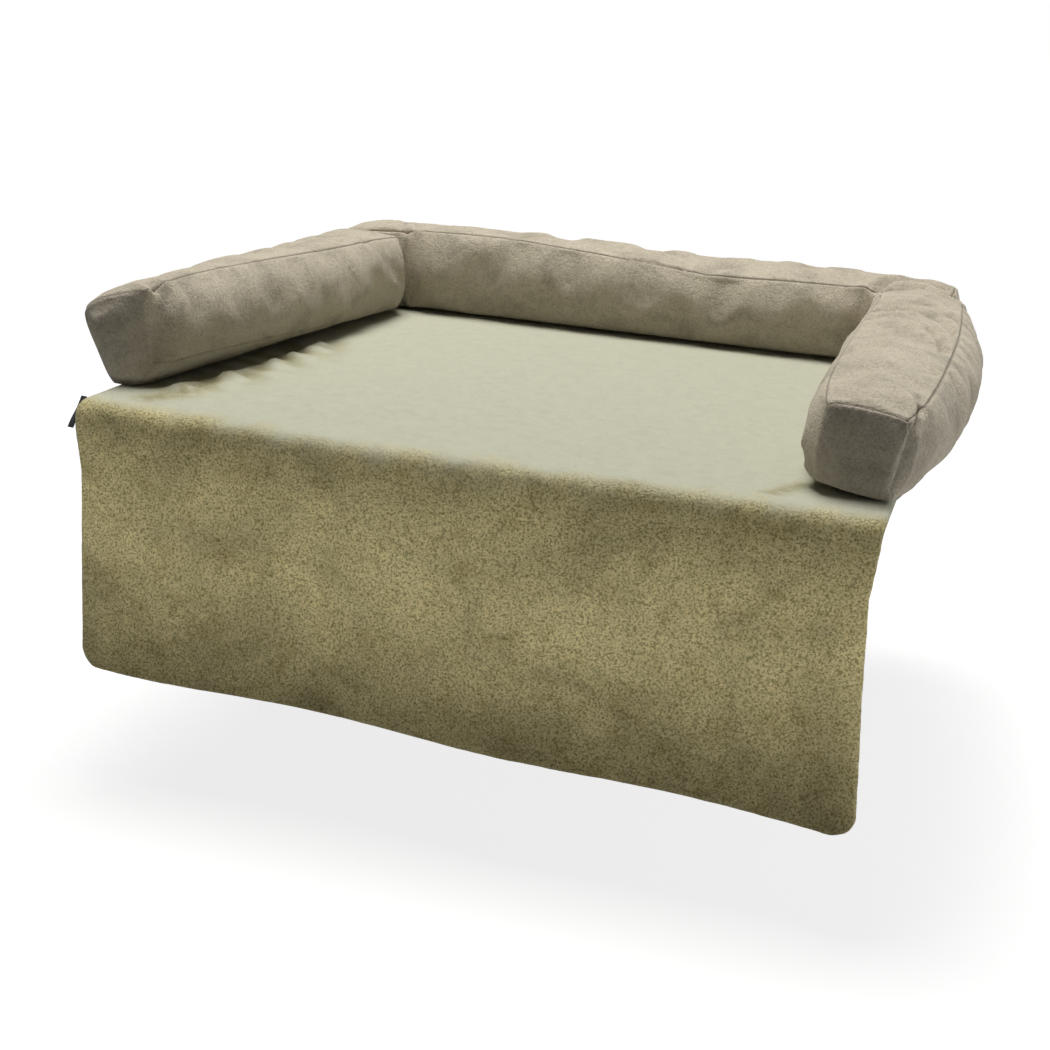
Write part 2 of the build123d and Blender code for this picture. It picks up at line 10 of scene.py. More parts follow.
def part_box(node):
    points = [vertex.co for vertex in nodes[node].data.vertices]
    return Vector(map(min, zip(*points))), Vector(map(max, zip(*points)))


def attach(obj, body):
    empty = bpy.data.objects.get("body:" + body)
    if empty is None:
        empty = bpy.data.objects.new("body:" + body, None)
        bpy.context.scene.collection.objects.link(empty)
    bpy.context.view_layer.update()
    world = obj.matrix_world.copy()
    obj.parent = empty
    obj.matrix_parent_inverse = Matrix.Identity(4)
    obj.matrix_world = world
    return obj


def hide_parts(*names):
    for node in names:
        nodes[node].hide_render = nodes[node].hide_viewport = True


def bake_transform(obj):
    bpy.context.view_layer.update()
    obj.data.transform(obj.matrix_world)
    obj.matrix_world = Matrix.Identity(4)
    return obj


bl_info = {
    "name": "Sofa-top pet bed",
    "version": (1, 0, 0),
    "blender": (4, 5, 0),
    "location": "3D Viewport > Sidebar > Pet Bed",
    "description": "Plush mat with a hanging front flap and three faux-suede bolsters",
    "category": "Add Mesh",
}

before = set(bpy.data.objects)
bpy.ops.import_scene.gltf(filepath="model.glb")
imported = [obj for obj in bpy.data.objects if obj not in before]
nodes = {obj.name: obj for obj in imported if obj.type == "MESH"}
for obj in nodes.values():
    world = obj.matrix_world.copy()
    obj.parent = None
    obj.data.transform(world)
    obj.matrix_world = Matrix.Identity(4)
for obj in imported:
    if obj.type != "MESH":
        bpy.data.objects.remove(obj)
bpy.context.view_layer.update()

# Sizes of the bed, in metres
HALF_WIDTH = 0.5
HALF_DEPTH = 0.45
MAT_THICKNESS = 0.05
CORNER_RADIUS = 0.03
PLUSH = 0.004
WADDING = 0.003
LINING = 0.0015
BASE = 0.0025
GAP = 0.0003

# Front fold: its radius, its axis, and how square its section is, where 2 is a circle
FOLD_RADIUS = 0.035
FOLD_Y = -HALF_DEPTH
FOLD_Z = MAT_THICKNESS - FOLD_RADIUS
FOLD_ARC = FOLD_RADIUS * math.pi / 2
FOLD_SQUARENESS = 3.3
FLAP_Y = FOLD_Y - FOLD_RADIUS
MAT_FRONT = FLAP_Y + PLUSH + WADDING + LINING + 3 * GAP

# Mat's sides: inset, bulge, puckers and the two faces' depths of the band, half the height of its zip slot,
# and how far, from where and over what run the mat and its cover draw in towards the front corners
BAND_INSET = 0.003
BAND_BULGE = 0.0028
BAND_PUCKER = 0.0007
BAND_FACES = (0.0003, 0.0023)
BAND_SLOT_HALF = 0.011
DRAW_IN = 0.034
DRAW_IN_START = 0.1
DRAW_IN_RUN = 0.28
COVER_DRAW_IN = 0.004

# Foam slabs: inset of their rear corners, how deep the memory foam lies under the seat's crown, its front's
# round, where that starts past the fold's axis, and the least that is left of it there
FOAM_INSET = 0.006
FOAM_SINK = 0.0016
FOAM_ROUND = FOLD_RADIUS - 0.011
FOAM_ROUND_START = 0.002
FOAM_LEAST = 0.001

# Seat crown between the bolsters, and the rucks of the pile beside the left one: height, way from its foot,
# range along it with the runs they ease over, length, how far they stretch across, and the share and the
# reach from the foot of the painted shade in their valleys
CROWN_HEIGHT = 0.0065
CROWN_INSET = 0.22
CROWN_X = 0.382
CROWN_FRONT = -0.43
CROWN_REAR = 0.3
RUCK_HEIGHT = 0.009
RUCK_FOOT = 0.008
RUCK_REACH = 0.062
RUCK_RANGE = (-0.40, 0.06)
RUCK_EASE = (0.04, 0.12)
RUCK_LENGTH = 0.036
RUCK_STRETCH = 0.55
RUCK_SHADE_SHARE = 0.7
RUCK_SHADE_REACH = 0.05

# Flap: cut sides as drop and place, hem, lower corners, soft folds, hem stitching and pressed dents (x, drop,
# radius, depth)
FLAP_LEFT = ((0.0, 0.055, 0.286, 0.305), (-0.499, -0.491, -0.491, -0.491))
FLAP_RIGHT = ((0.0, 0.055, 0.16, 0.3, 0.33), (0.493, 0.487, 0.492, 0.504, 0.504))
FLAP_MEAN_DROP = 0.325
FLAP_HEM_X = (-0.461, -0.3, -0.06, 0.16, 0.33, 0.468)
FLAP_HEM_DROP = (0.314, 0.318, 0.324, 0.326, 0.333, 0.338)
HEM_CORNER_SHARE = 0.085
HEM_CORNERS = (0.028, 0.034)
FLAP_KNOTS = (-0.54, -0.3, -0.05, 0.21, 0.54)
FLAP_WAVE = 0.009
FLAP_WAVE_GROWTH = ((0.0, 0.02, 0.09, 0.2, 0.37), (0.01, 0.01, 0.4, 0.8, 1.0))
FLAP_SWING = 0.026
FLAP_SWING_SHARES = (0.0, 0.1, 0.15, 0.3, 1.0)
FLAP_REACH = 0.372
HEM_STITCH = 0.014
HEM_STITCH_WIDTH = 0.0035
HEM_STITCH_DEPTH = 0.0007
HEM_WAY = 0.33
FLAP_DENTS = ((-0.233, 0.071, 0.010, 0.0026), (-0.229, 0.093, 0.008, 0.002), (-0.198, 0.165, 0.009, 0.0026),
              (0.03, 0.13, 0.014, 0.0016), (0.24, 0.2, 0.012, 0.0016), (-0.4, 0.2, 0.014, 0.0016))

# Loose swell of the cover: depth, length, seed and count of each run of waves; where it starts past the mat's
# front edge, over what run, how far from an edge it fades, and how deep the cover may sink
SEAT_SWELL = (0.0006, 0.09, 71, 9)
FLAP_SWELLS = ((0.0013, 0.09, 73, 9), (0.0006, 0.026, 72, 9), (0.0005, 0.013, 74, 11))
HEM_SWELL = (0.0005, 0.02, 75, 7)
LOOSE_START = 0.01
LOOSE_RUN = 0.06
LOOSE_EDGE = 0.02
SINK_LIMIT = 0.003

# Faces of the plush: depth, the depth whose mean with it the free edge sinks to, and the radius of that round
PLUSH_FACES = ((0.0, 0.009, 0.006), (PLUSH, 0.0075, 0.004))
EDGE_ROUND = 0.006

# Rows of the flap with their spacing at its ends, and columns, of the plush and of the layers behind it
PLUSH_GRID = (76, 0.4, 221)
LAYER_GRID = (57, 0.35, 167)

# How far past the mat's front edge the seat's smooth pile, with its painted sheen, goes over into the open
# curls of the flap, with their painted light
PILE_BORDER = ((-0.5, -0.45, -0.33, -0.19, -0.05, 0.13, 0.35, 0.5),
               (0.002, 0.010, 0.018, 0.030, 0.032, 0.028, 0.026, 0.022))
BORDER_SWELLS = ((0.007, 0.06, 76, 9), (0.003, 0.018, 77, 9))
BORDER_LEAD = 0.03
BORDER_WIDTH = 0.056

# Streaks where the seat's pile stands open: (x, y) of each point, width and share
PILE_STREAKS = (
    (((0.347, -0.470), (0.371, -0.431), (0.395, -0.382)), 0.012, 0.5),
    (((0.222, -0.480), (0.288, -0.469), (0.340, -0.478)), 0.01, 0.35),
    (((-0.430, -0.419), (-0.404, -0.377), (-0.413, -0.251)), 0.02, 0.6),
)
OPEN_PILE_SHARE = 0.7

# Label: its length, half its thickness, and how much it waves
LABEL_LENGTH = 0.046
LABEL_HALF_THICKNESS = 0.0005
LABEL_WAVE = 0.0008

# Colours of what lies inside
WADDING_COLOUR = (0.8, 0.8, 0.78)
SUPPORT_FOAM_COLOUR = (0.62, 0.62, 0.6)

# Bolsters: stations along each one, and its section there as shares of these sizes
BOLSTER_WIDTH = 0.117
BOLSTER_HEIGHT = 0.118
BOLSTER_CROWN = 0.01
REST_DEPTH = 0.0005
BOLSTERS = {
    "left_arm": {
        "side": -1, "edge": HALF_WIDTH, "domes": (0.008, 0.004), "ends": ("front", "rear"),
        "places": (0.0, 0.11, 0.331, 0.625, 0.89, 1.0),
        "overhang": (0.043, 0.034, 0.0, -0.026, -0.034, -0.034),
        "top_width": (0.795, 0.889, 0.957, 0.991, 1.0, 0.983),
        "bottom_width": (0.581, 0.803, 0.923, 0.974, 1.0, 0.983),
        "outer_height": (0.833, 0.903, 0.947, 0.971, 0.985, 0.992),
        "inner_height": (0.816, 0.886, 0.93, 0.962, 0.993, 1.0),
        "lean": (25.0, 22.0, 16.0, 9.0, 4.0, 2.0),
        "crowns": ((0.4, 0.9, 1.2, 1.2, 0.9, 0.5), (0.7, 0.9, 0.9, 0.9, 0.8, 0.5),
                   (0.4, 0.8, 1.0, 1.0, 0.8, 0.4), (1.2, 1.5, 1.4, 1.0, 0.7, 0.3)),
    },
    "right_arm": {
        "side": 1, "edge": HALF_WIDTH, "domes": (0.008, 0.004), "ends": ("front", "rear"),
        "places": (0.0, 0.108, 0.329, 0.606, 0.883, 1.0),
        "overhang": (-0.068, 0.094, 0.197, 0.205, 0.111, 0.017),
        "top_width": (0.816, 1.009, 1.103, 1.111, 1.034, 1.0),
        "bottom_width": (0.786, 0.974, 1.085, 1.094, 1.034, 1.0),
        "outer_height": (0.839, 0.915, 0.958, 0.975, 0.992, 1.0),
        "inner_height": (0.839, 0.915, 0.966, 0.992, 1.0, 1.0),
        "lean": (5.8, 3.5, 1.0, 0.5, 1.5, 3.0),
        "crowns": ((0.6, 2.2, 3.0, 3.2, 2.2, 0.8), (0.4, 0.9, 1.0, 1.0, 0.9, 0.5),
                   (1.0, 1.1, 1.1, 1.0, 0.8, 0.4), (0.2, 0.4, 0.6, 0.6, 0.5, 0.3)),
    },
    "back": {
        "side": 0, "edge": HALF_DEPTH - 0.018, "domes": (0.008, 0.008), "ends": ("left", "right"),
        "places": (0.0, 0.063, 0.26, 0.445, 0.622, 0.774, 0.892, 1.0),
        "overhang": (0.0,) * 8,
        "top_width": (0.957, 1.0, 1.0, 1.0, 1.009, 1.009, 1.0, 0.957),
        "bottom_width": (0.957, 1.0, 1.0, 1.0, 1.009, 1.009, 1.0, 0.957),
        "outer_height": (0.983, 1.017, 1.025, 1.034, 1.034, 1.042, 1.042, 1.0),
        "inner_height": (0.983, 1.034, 1.085, 1.008, 0.898, 0.932, 0.949, 0.966),
        "lean": (3.0,) * 8,
        "crowns": ((0.4, 0.9, 1.0, 1.0, 1.0, 1.0, 0.9, 0.4), (0.4, 0.8, 0.9, 0.9, 0.9, 0.9, 0.9, 0.4),
                   (0.4, 0.8, 0.9, 0.9, 0.9, 0.9, 0.8, 0.4), (0.2, 0.4, 0.5, 0.5, 0.5, 0.5, 0.5, 0.2)),
    },
}

# Sides of a bolster's section, in the order of its corners
OUTER, TOP, INNER, BOTTOM = range(4)

# Creases sewn or pressed into the cloth: side, (share along, share across) of each point, width and depth
CREASES = {
    "left_arm": (
        (INNER, ((0.03, 0.0), (0.036, 0.12), (0.022, 0.26)), 0.008, 0.006),
        (TOP, ((0.028, 1.0), (0.036, 0.82)), 0.007, 0.004),
        (INNER, ((0.30, 0.86), (0.33, 1.0)), 0.006, 0.003),
        (INNER, ((0.44, 0.84), (0.46, 1.0)), 0.006, 0.003),
        (INNER, ((0.60, 0.86), (0.61, 1.0)), 0.006, 0.003),
        (INNER, ((0.80, 0.0), (0.86, 0.35), (0.93, 0.6)), 0.010, 0.002),
    ),
    "right_arm": (
        (OUTER, ((0.055, 1.0), (0.030, 0.93), (0.010, 0.84), (0.004, 0.6), (0.002, 0.2)), 0.005, 0.006),
        (TOP, ((0.055, 0.0), (0.075, 0.09)), 0.006, 0.004),
        (INNER, ((0.0, 0.80), (0.05, 0.74), (0.09, 0.8)), 0.006, 0.004),
        (TOP, ((0.93, 0.98), (0.965, 0.8), (0.975, 0.45), (0.955, 0.1)), 0.007, 0.007),
    ),
    "back": (
        (TOP, ((0.885, 1.0), (0.90, 0.72), (0.93, 0.6), (0.97, 0.62), (1.0, 0.7)), 0.009, 0.010),
        (TOP, ((0.90, 0.98), (0.925, 0.86), (0.955, 0.83)), 0.006, 0.003),
        (TOP, ((0.50, 0.965), (0.535, 0.955), (0.58, 0.98)), 0.0025, 0.004),
        (INNER, ((0.112, 0.0), (0.112, 0.5), (0.113, 1.0)), 0.006, 0.006),
        (TOP, ((0.12, 1.0), (0.14, 0.8), (0.16, 0.6)), 0.007, 0.003),
        (TOP, ((0.092, 0.55), (0.10, 0.8), (0.102, 1.0)), 0.006, 0.003),
        (TOP, ((0.30, 0.9), (0.35, 0.55), (0.38, 0.3)), 0.010, 0.0022),
        (TOP, ((0.62, 0.95), (0.66, 0.6), (0.68, 0.35)), 0.010, 0.0022),
    ),
}

# Right arm: arcs across the rear of its top, round a centre, and gathers below its outer seam. Both are
# valleys a step apart, whose mean height is taken off, and which ease in and out
ARC_CENTRE_SHARES = (0.38, 0.75)
ARC_FLATTENING = 2.3
ARC_STEP = 0.062
ARC_REACH = (0.10, 0.36)
ARC_EASE = (0.06, 0.05)
ARC_DEPTH = 0.008
ARC_MEAN = 0.2
GATHER_STEP = 0.052
GATHER_SLANT = 0.4
GATHER_FADE = 0.06
GATHER_START_SHARE = 0.12
GATHER_EASE_SHARE = 0.2
GATHER_DEPTH = 0.008
GATHER_MEAN = 0.4

# Seams: radius of the turn beside a stitch line, widths of the stitch groove and of the painted shade along
# it, how far from a seam and from an end the cloth lies calm, and the pucker at each corner
SEAM_ROUND = 0.006
GROOVE_WIDTH = 0.0017
SEAM_SHADE_WIDTH = 0.00115
SEAM_CALM = 0.012
END_CALM = 0.014
PUCKER_RADIUS = 0.009
PUCKER_DEPTH = 0.0016

# Soft turns without a seam: an arm's front inner corner; how far round it, how often and between which
# shares of its height it is smoothed; the turn where the bolsters meet, from this many widths inside the
# mat's sides; and from how many the arms press on the back
SOFT_ROUND = 0.030
SOFT_REACH = 0.016
SOFT_TIMES = 90
SOFT_SHARES = (0.24, 0.9)
REAR_ROUND = 0.020
MEETING_SHARE = 1.08
PRESSED_SHARE = 1.15

# Painted shade, from 0 to 1: in a crease of full depth, in the valleys of the arcs and gathers, and at a
# bolster's foot
CREASE_PAINTED_SHADE = 0.55
CREASE_FULL_DEPTH = 0.005
FOLD_PAINTED_SHADE = 0.65 * CREASE_PAINTED_SHADE
FOOT_PAINTED_SHADE = 0.65

# Fullness: how far each inner side stands out, the runs over which it rises from its top seam, foot and ends,
# and the stuffing pushed into the left arm's front outer corner (side, height, radius)
PILLOW = {"left_arm": 0.012, "right_arm": 0.006, "back": 0.007}
PILLOW_TOP = 0.045
PILLOW_FOOT = 0.05
PILLOW_END = 0.035
STUFFED_TIPS = {"left_arm": ((TOP, 0.008, 0.05), (OUTER, 0.007, 0.05))}

# Loose swell: each bolster's seed, and of each run of waves its share of the slack, its length and added seed
BOLSTER_SEEDS = {"left_arm": 11, "right_arm": 23, "back": 37}
SLACK_SWELLS = ((1.0, 0.14, 20), (0.3, 0.05, 30))
BOTTOM_SLACK_SHARE = 0.4
GATHER_LENGTH = 0.021
GATHER_REACH = 0.014

# Zips in the outer sides: height of their middle as a share of the side, half the tapes' height, and the
# pocket that they lie in; the cloth eases round both along the bolster and up
ZIP_HEIGHT_SHARE = 0.2
ZIP_HALF = 0.012
ZIP_EASE = (0.03, 0.02)
POCKET_HALF = 0.0118
POCKET_EASE = (0.006, 0.003)
POCKET_DEPTH = 0.0031

# Domed ends: how full the dome is, how far in the sides' own movement reaches, and the groove inside the edge
DOME_POWER = 0.45
END_BLEND = 0.014
END_SWELL_EDGE = 0.02
END_GROOVE_INSET = 0.0012
END_GROOVE_EASE = 0.001

# Cloth simulation: the draft's first swell, its length and how far from a seam it fades; the rows at each end
# that its mean leaves out, and the run over which that mean is taken off; the frames and the cloth's settings
DRAFT_SWELL = 0.002
DRAFT_SWELL_LENGTH = 0.07
DRAFT_FADE = 0.02
DRAFT_END_ROWS = 8
DRAFT_END_EASE = 0.04
CLOTH_FRAMES = 24
CLOTH_SETTINGS = {
    "quality": 6, "mass": 0.15, "tension_stiffness": 15, "compression_stiffness": 5, "shear_stiffness": 5,
    "bending_stiffness": 20, "tension_damping": 15, "compression_damping": 15, "air_damping": 8,
    "use_pressure": True, "uniform_pressure_force": 3, "shrink_min": -0.02, "vertex_group_mass": "sewn",
}

# Stage: floor, its glow near and far and the distance of the far one, and the sky's light on the bed
FLOOR_HALF = 40.0
FLOOR_LEVEL = -0.45
FLOOR_COLOUR = (0.35, 0.35, 0.35)
FLOOR_GLOW = (0.8, 1.0, 6.0)
AMBIENT = 0.042

# Lamps: name, place, aim, size, power in watts, colour, and spread in degrees
LAMPS = (
    ("overhead", (-0.5, 0.4, 3.6), (0.0, 0.0, 0.0), (2.0, 1.8), 146.0, (1.0, 0.99, 0.97), 180),
    ("right_fill", (1.9, 0.1, 0.16), (0.4, 0.1, 0.12), (1.2, 0.2), 9.0, (1.0, 1.0, 1.0), 180),
    ("flap_strip", (0.2, -2.0, -0.16), (0.05, -0.5, -0.11), (1.6, 0.15), 0.55, (1.0, 1.0, 1.0), 18),
)

# Camera: its place, the directions of its right and its back, lens and sensor in millimetres, and shift
CAMERA_PLACE = (0.6165, -2.2362, 0.5752)
CAMERA_RIGHT = (0.950, 0.3064, 0.0605)
CAMERA_BACK = (0.278, -0.9179, 0.2833)
CAMERA_LENS = 57.35
CAMERA_SENSOR = 36.0
CAMERA_SHIFT = (0.0025, -0.0422)


def waves(points, size, seed, count=7):
    """Soft random swell between about -1 and 1: a sum of sine waves of random directions and phases,
    each about size long, over points of shape (..., 3)."""
    draw = np.random.default_rng(seed)
    total = np.zeros(points.shape[:-1])
    for _ in range(count):
        heading = draw.normal(size=3)
        heading /= np.linalg.norm(heading)
        length = size * draw.uniform(0.7, 1.6)
        total += np.sin(points @ heading * (2 * math.pi / length) + draw.uniform(0, 2 * math.pi))
    return total / math.sqrt(count / 2) / 1.4


def swells(points, *runs):
    """Sum of several runs of waves, each given by its depth and then what waves takes."""
    return sum(depth * waves(points, *rest) for depth, *rest in runs)


def clustered(count, near):
    """Places from 0 to 1, closer together near both ends: near is the first step's share of the mean one."""
    even = np.linspace(0, 1, count)
    return even - (1 - near) * np.sin(2 * math.pi * even) / (2 * math.pi)


def smooth_table(places, values, at):
    """Smooth curve through a table: cubic pieces whose slope at each place is that of its neighbours. Each
    place may hold one value or a row of them."""
    places, values, at = (np.asarray(entry, float) for entry in (places, values, at))
    extra = (1,) * (values.ndim - 1)
    gaps = np.diff(places).reshape(-1, *extra)
    slopes = np.empty_like(values)
    slopes[1:-1] = (values[2:] - values[:-2]) / (gaps[1:] + gaps[:-1])
    slopes[0] = (values[1] - values[0]) / gaps[0]
    slopes[-1] = (values[-1] - values[-2]) / gaps[-1]
    i = np.clip(np.searchsorted(places, at, side="right") - 1, 0, len(places) - 2)
    step = gaps[i]
    t = np.clip((at - places[i]).reshape(at.shape + extra) / step, 0, 1)
    return ((1 - t) ** 2 * ((1 + 2 * t) * values[i] + t * step * slopes[i])
            + t ** 2 * ((3 - 2 * t) * values[i + 1] - (1 - t) * step * slopes[i + 1]))


def eased(value):
    """Smooth step from 0 to 1 of a value clipped to that range."""
    value = np.clip(value, 0, 1)
    return value * value * (3 - 2 * value)


def bell(distance, width):
    """One at no distance, falling to about a third at width."""
    return np.exp(-(distance / width) ** 2)


def unit(vectors):
    """Vectors of length 1 in the same directions."""
    return vectors / np.maximum(np.linalg.norm(vectors, axis=-1, keepdims=True), 1e-12)


def surface_normals(points):
    """Unit normals of a grid surface: the cross product of its two parameters' slopes."""
    along = np.gradient(points, axis=0)
    across = np.gradient(points, axis=1)
    return unit(np.cross(along, across))


def mesh_object(name, points, faces, materials=(), smooth=True):
    """A new piece of points and faces, at the origin."""
    mesh = bpy.data.meshes.new(name)
    mesh.from_pydata(points.reshape(-1, 3).tolist(), [], faces)
    mesh.update()
    mesh.polygons.foreach_set("use_smooth", [smooth] * len(mesh.polygons))
    for material in materials:
        mesh.materials.append(material)
    piece = bpy.data.objects.new(name, mesh)
    bpy.context.scene.collection.objects.link(piece)
    return piece


def grid_faces(rows, columns, start=0, turned=False, kept=None):
    """Quads of a grid of rows x columns points numbered from start, anticlockwise about across x along."""
    i, j = np.meshgrid(np.arange(rows - 1), np.arange(columns - 1), indexing="ij")
    if kept is not None:
        i, j = i[kept], j[kept]
    a = start + i.ravel() * columns + j.ravel()
    quads = np.stack([a, a + columns, a + columns + 1, a + 1], axis=1)
    return quads[:, ::-1] if turned else quads


def patch_faces(grids, turned=()):
    """Quads of several grids numbered one after the other; those listed in turned are turned round."""
    faces, start = [], 0
    for n, grid in enumerate(grids):
        rows, columns = grid.shape[:2]
        faces.append(grid_faces(rows, columns, start, n in turned))
        start += rows * columns
    return np.concatenate(faces)


def shell_faces(rows, columns, kept=None):
    """Quads of a closed cloth: the outer grid, the inner one turned round, and walls along its open edges."""
    kept = np.ones((rows - 1, columns - 1), bool) if kept is None else kept
    inner = rows * columns
    walls = []
    padded = np.pad(kept, 1)
    body = padded[1:-1, 1:-1]
    for di, dj in ((-1, 0), (1, 0), (0, -1), (0, 1)):
        beside = padded[1 + di:padded.shape[0] - 1 + di, 1 + dj:padded.shape[1] - 1 + dj]
        i, j = np.nonzero(body & ~beside)
        if di == -1:
            first, last = (i, j), (i, j + 1)
        elif di == 1:
            first, last = (i + 1, j + 1), (i + 1, j)
        elif dj == -1:
            first, last = (i + 1, j), (i, j)
        else:
            first, last = (i, j + 1), (i + 1, j + 1)
        a = first[0] * columns + first[1]
        b = last[0] * columns + last[1]
        walls.append(np.stack([a, b, b + inner, a + inner], axis=1))
    return np.concatenate([grid_faces(rows, columns, 0, False, kept),
                           grid_faces(rows, columns, inner, True, kept)] + walls)


def cloth_shell(name, outer, inner, materials, kept=None, **attributes):
    """A closed sheet of cloth between two grids of points, with named values for its points."""
    rows, columns = outer.shape[:2]
    points = np.concatenate([outer.reshape(-1, 3), inner.reshape(-1, 3)])
    faces = shell_faces(rows, columns, kept)
    used = np.unique(faces)
    renumber = np.zeros(len(points), int)
    renumber[used] = np.arange(len(used))
    piece = mesh_object(name, points[used], renumber[faces].tolist(), materials)
    for key, values in attributes.items():
        add_attribute(piece, key, np.tile(values.ravel(), 2)[used])
    return piece


def add_attribute(piece, name, values):
    """Keeps a value for each point of a piece, under a name that materials read."""
    attribute = piece.data.attributes.new(name, "FLOAT", "POINT")
    attribute.data.foreach_set("value", np.asarray(values, np.float32).ravel())


def weld(piece, distance=1e-5):
    """Joins the doubled points on seams and poles, and makes the faces point outwards."""
    shape = bmesh.new()
    shape.from_mesh(piece.data)
    bmesh.ops.remove_doubles(shape, verts=shape.verts, dist=distance)
    bmesh.ops.recalc_face_normals(shape, faces=shape.faces)
    shape.to_mesh(piece.data)
    shape.free()
    piece.data.update()


# Materials

def put(tree, socket, value):
    """Links a socket to another one, or gives it a value of its own."""
    if isinstance(value, bpy.types.NodeSocket):
        tree.links.new(value, socket)
    else:
        socket.default_value = value


def put_all(tree, node, **inputs):
    """Links or values for a node's sockets, which are named with _ for each space."""
    for key, value in inputs.items():
        put(tree, node.inputs[key.replace("_", " ")], value)


def add_node(tree, kind, settings=(), **inputs):
    """A node of a kind, with its settings and what its sockets take."""
    node = tree.nodes.new(kind)
    for key, value in dict(settings).items():
        setattr(node, key, value)
    put_all(tree, node, **inputs)
    return node


def new_material(name):
    """A new material, its node tree, its shader, and the coordinates of the object's own space."""
    material = bpy.data.materials.new(name)
    material.use_nodes = True
    tree = material.node_tree
    tree.nodes.clear()
    output = tree.nodes.new("ShaderNodeOutputMaterial")
    shader = tree.nodes.new("ShaderNodeBsdfPrincipled")
    tree.links.new(shader.outputs["BSDF"], output.inputs["Surface"])
    return material, tree, shader, add_node(tree, "ShaderNodeTexCoord").outputs["Object"]


def noise(tree, where, size, detail=3.0, rough=0.55, warp=0.0):
    """Noise whose lumps are about size metres across."""
    return add_node(tree, "ShaderNodeTexNoise", Vector=where, Scale=1 / size, Detail=detail,
                    Roughness=rough, Distortion=warp).outputs["Fac"]


def stored(tree, name):
    """Value kept at the piece's points under a name."""
    return add_node(tree, "ShaderNodeAttribute", {"attribute_name": name}).outputs["Fac"]


def ramp(tree, factor, stops):
    """Colours that follow a factor from 0 to 1, through stops of a place and a colour."""
    node = add_node(tree, "ShaderNodeValToRGB", Fac=factor)
    while len(node.color_ramp.elements) < len(stops):
        node.color_ramp.elements.new(0.5)
    for element, (place, colour) in zip(node.color_ramp.elements, stops):
        element.position = place
        element.color = (*colour, 1.0)
    return node.outputs["Color"]


def math_node(tree, kind, *values):
    """Result of a sum or the like of sockets or numbers."""
    node = add_node(tree, "ShaderNodeMath", {"operation": kind})
    for socket, value in zip(node.inputs, values):
        put(tree, socket, value)
    return node.outputs[0]


def mixed(tree, kind, factor, a, b):
    """Colour mix node; a and b are sockets or colours."""
    node = add_node(tree, "ShaderNodeMix", {"data_type": "RGBA", "blend_type": kind})
    for index, value in ((0, factor), (6, a), (7, b)):
        put(tree, node.inputs[index], (*value, 1.0) if isinstance(value, tuple) else value)
    return node.outputs[2]


def bump(tree, height, depth, strength=1.0, base=None):
    """Normal of a surface that a height of 0 to 1 raises by depth metres, on top of a base normal if any."""
    node = add_node(tree, "ShaderNodeBump", Strength=strength, Distance=depth, Height=height)
    if base is not None:
        tree.links.new(base, node.inputs["Normal"])
    return node.outputs["Normal"]


def shade(colour, factor):
    """A colour made darker or lighter by a factor."""
    return tuple(min(1.0, c * factor) for c in colour)


def plush_material(name, laid_pile_and_painted_sheen, curled_pile_and_painted_light):
    """Short-pile plush: lying smooth with faint brushed streaks where flap_share is 0, and standing in curls
    with dark gaps between them where it is 1. The seat's colour is paler and greyer, a painted sheen of pile
    seen at a grazing angle; the flap's is brighter and more yellow, painted light that makes up for the weak
    light on its hanging face."""
    material, tree, shader, where = new_material(name)
    open_pile = stored(tree, "flap_share")
    patches = noise(tree, where, 0.15, 4.0, 0.55, 1.2)
    blotches = noise(tree, where, 0.035, 3.0, 0.6, 0.6)
    curls = noise(tree, where, 0.0026, 2.0, 0.6, 0.4)
    fibres = noise(tree, where, 0.0019, 2.0, 0.6)
    streaks = noise(tree, where, 0.018, 4.0, 0.6, 0.8)
    seat = ramp(tree, streaks, [(0.3, shade(laid_pile_and_painted_sheen, 0.93)), (0.55, laid_pile_and_painted_sheen), (0.75, shade(laid_pile_and_painted_sheen, 1.03))])
    flap = ramp(tree, patches, [(0.34, shade(curled_pile_and_painted_light, 0.78)), (0.5, curled_pile_and_painted_light), (0.66, shade(curled_pile_and_painted_light, 1.14))])
    browned = ramp(tree, blotches, [(0.32, (0.80, 0.76, 0.68)), (0.5, (1, 1, 1)), (0.72, (1, 1, 1))])
    flap = mixed(tree, "MULTIPLY", 0.75, flap, browned)
    gaps = ramp(tree, curls, [(0.36, (0.36, 0.34, 0.25)), (0.5, (0.82, 0.81, 0.76)), (0.62, (1, 1, 1))])
    flap = mixed(tree, "MULTIPLY", 0.9, flap, gaps)
    base = mixed(tree, "MIX", open_pile, seat, flap)
    # Darker in the rucks' valleys beside the left bolster, a painted shade, and along the streaks of open pile
    base = mixed(tree, "MULTIPLY", stored(tree, "ruck_share"), base, (0.36, 0.35, 0.24))
    tips = ramp(tree, fibres, [(0.32, (0.80, 0.79, 0.76)), (0.6, (1, 1, 1))])
    base = mixed(tree, "MULTIPLY", 0.45, base, tips)
    lumps = bump(tree, curls, 0.0050, math_node(tree, "MULTIPLY_ADD", open_pile, 0.75, 0.12))
    put_all(tree, shader, Base_Color=base, Roughness=0.95, Specular_IOR_Level=0.1, Sheen_Weight=0.25,
            Sheen_Roughness=0.4, Sheen_Tint=(0.92, 0.92, 0.80, 1),
            Normal=bump(tree, fibres, 0.0015, 0.5, lumps))
    return material


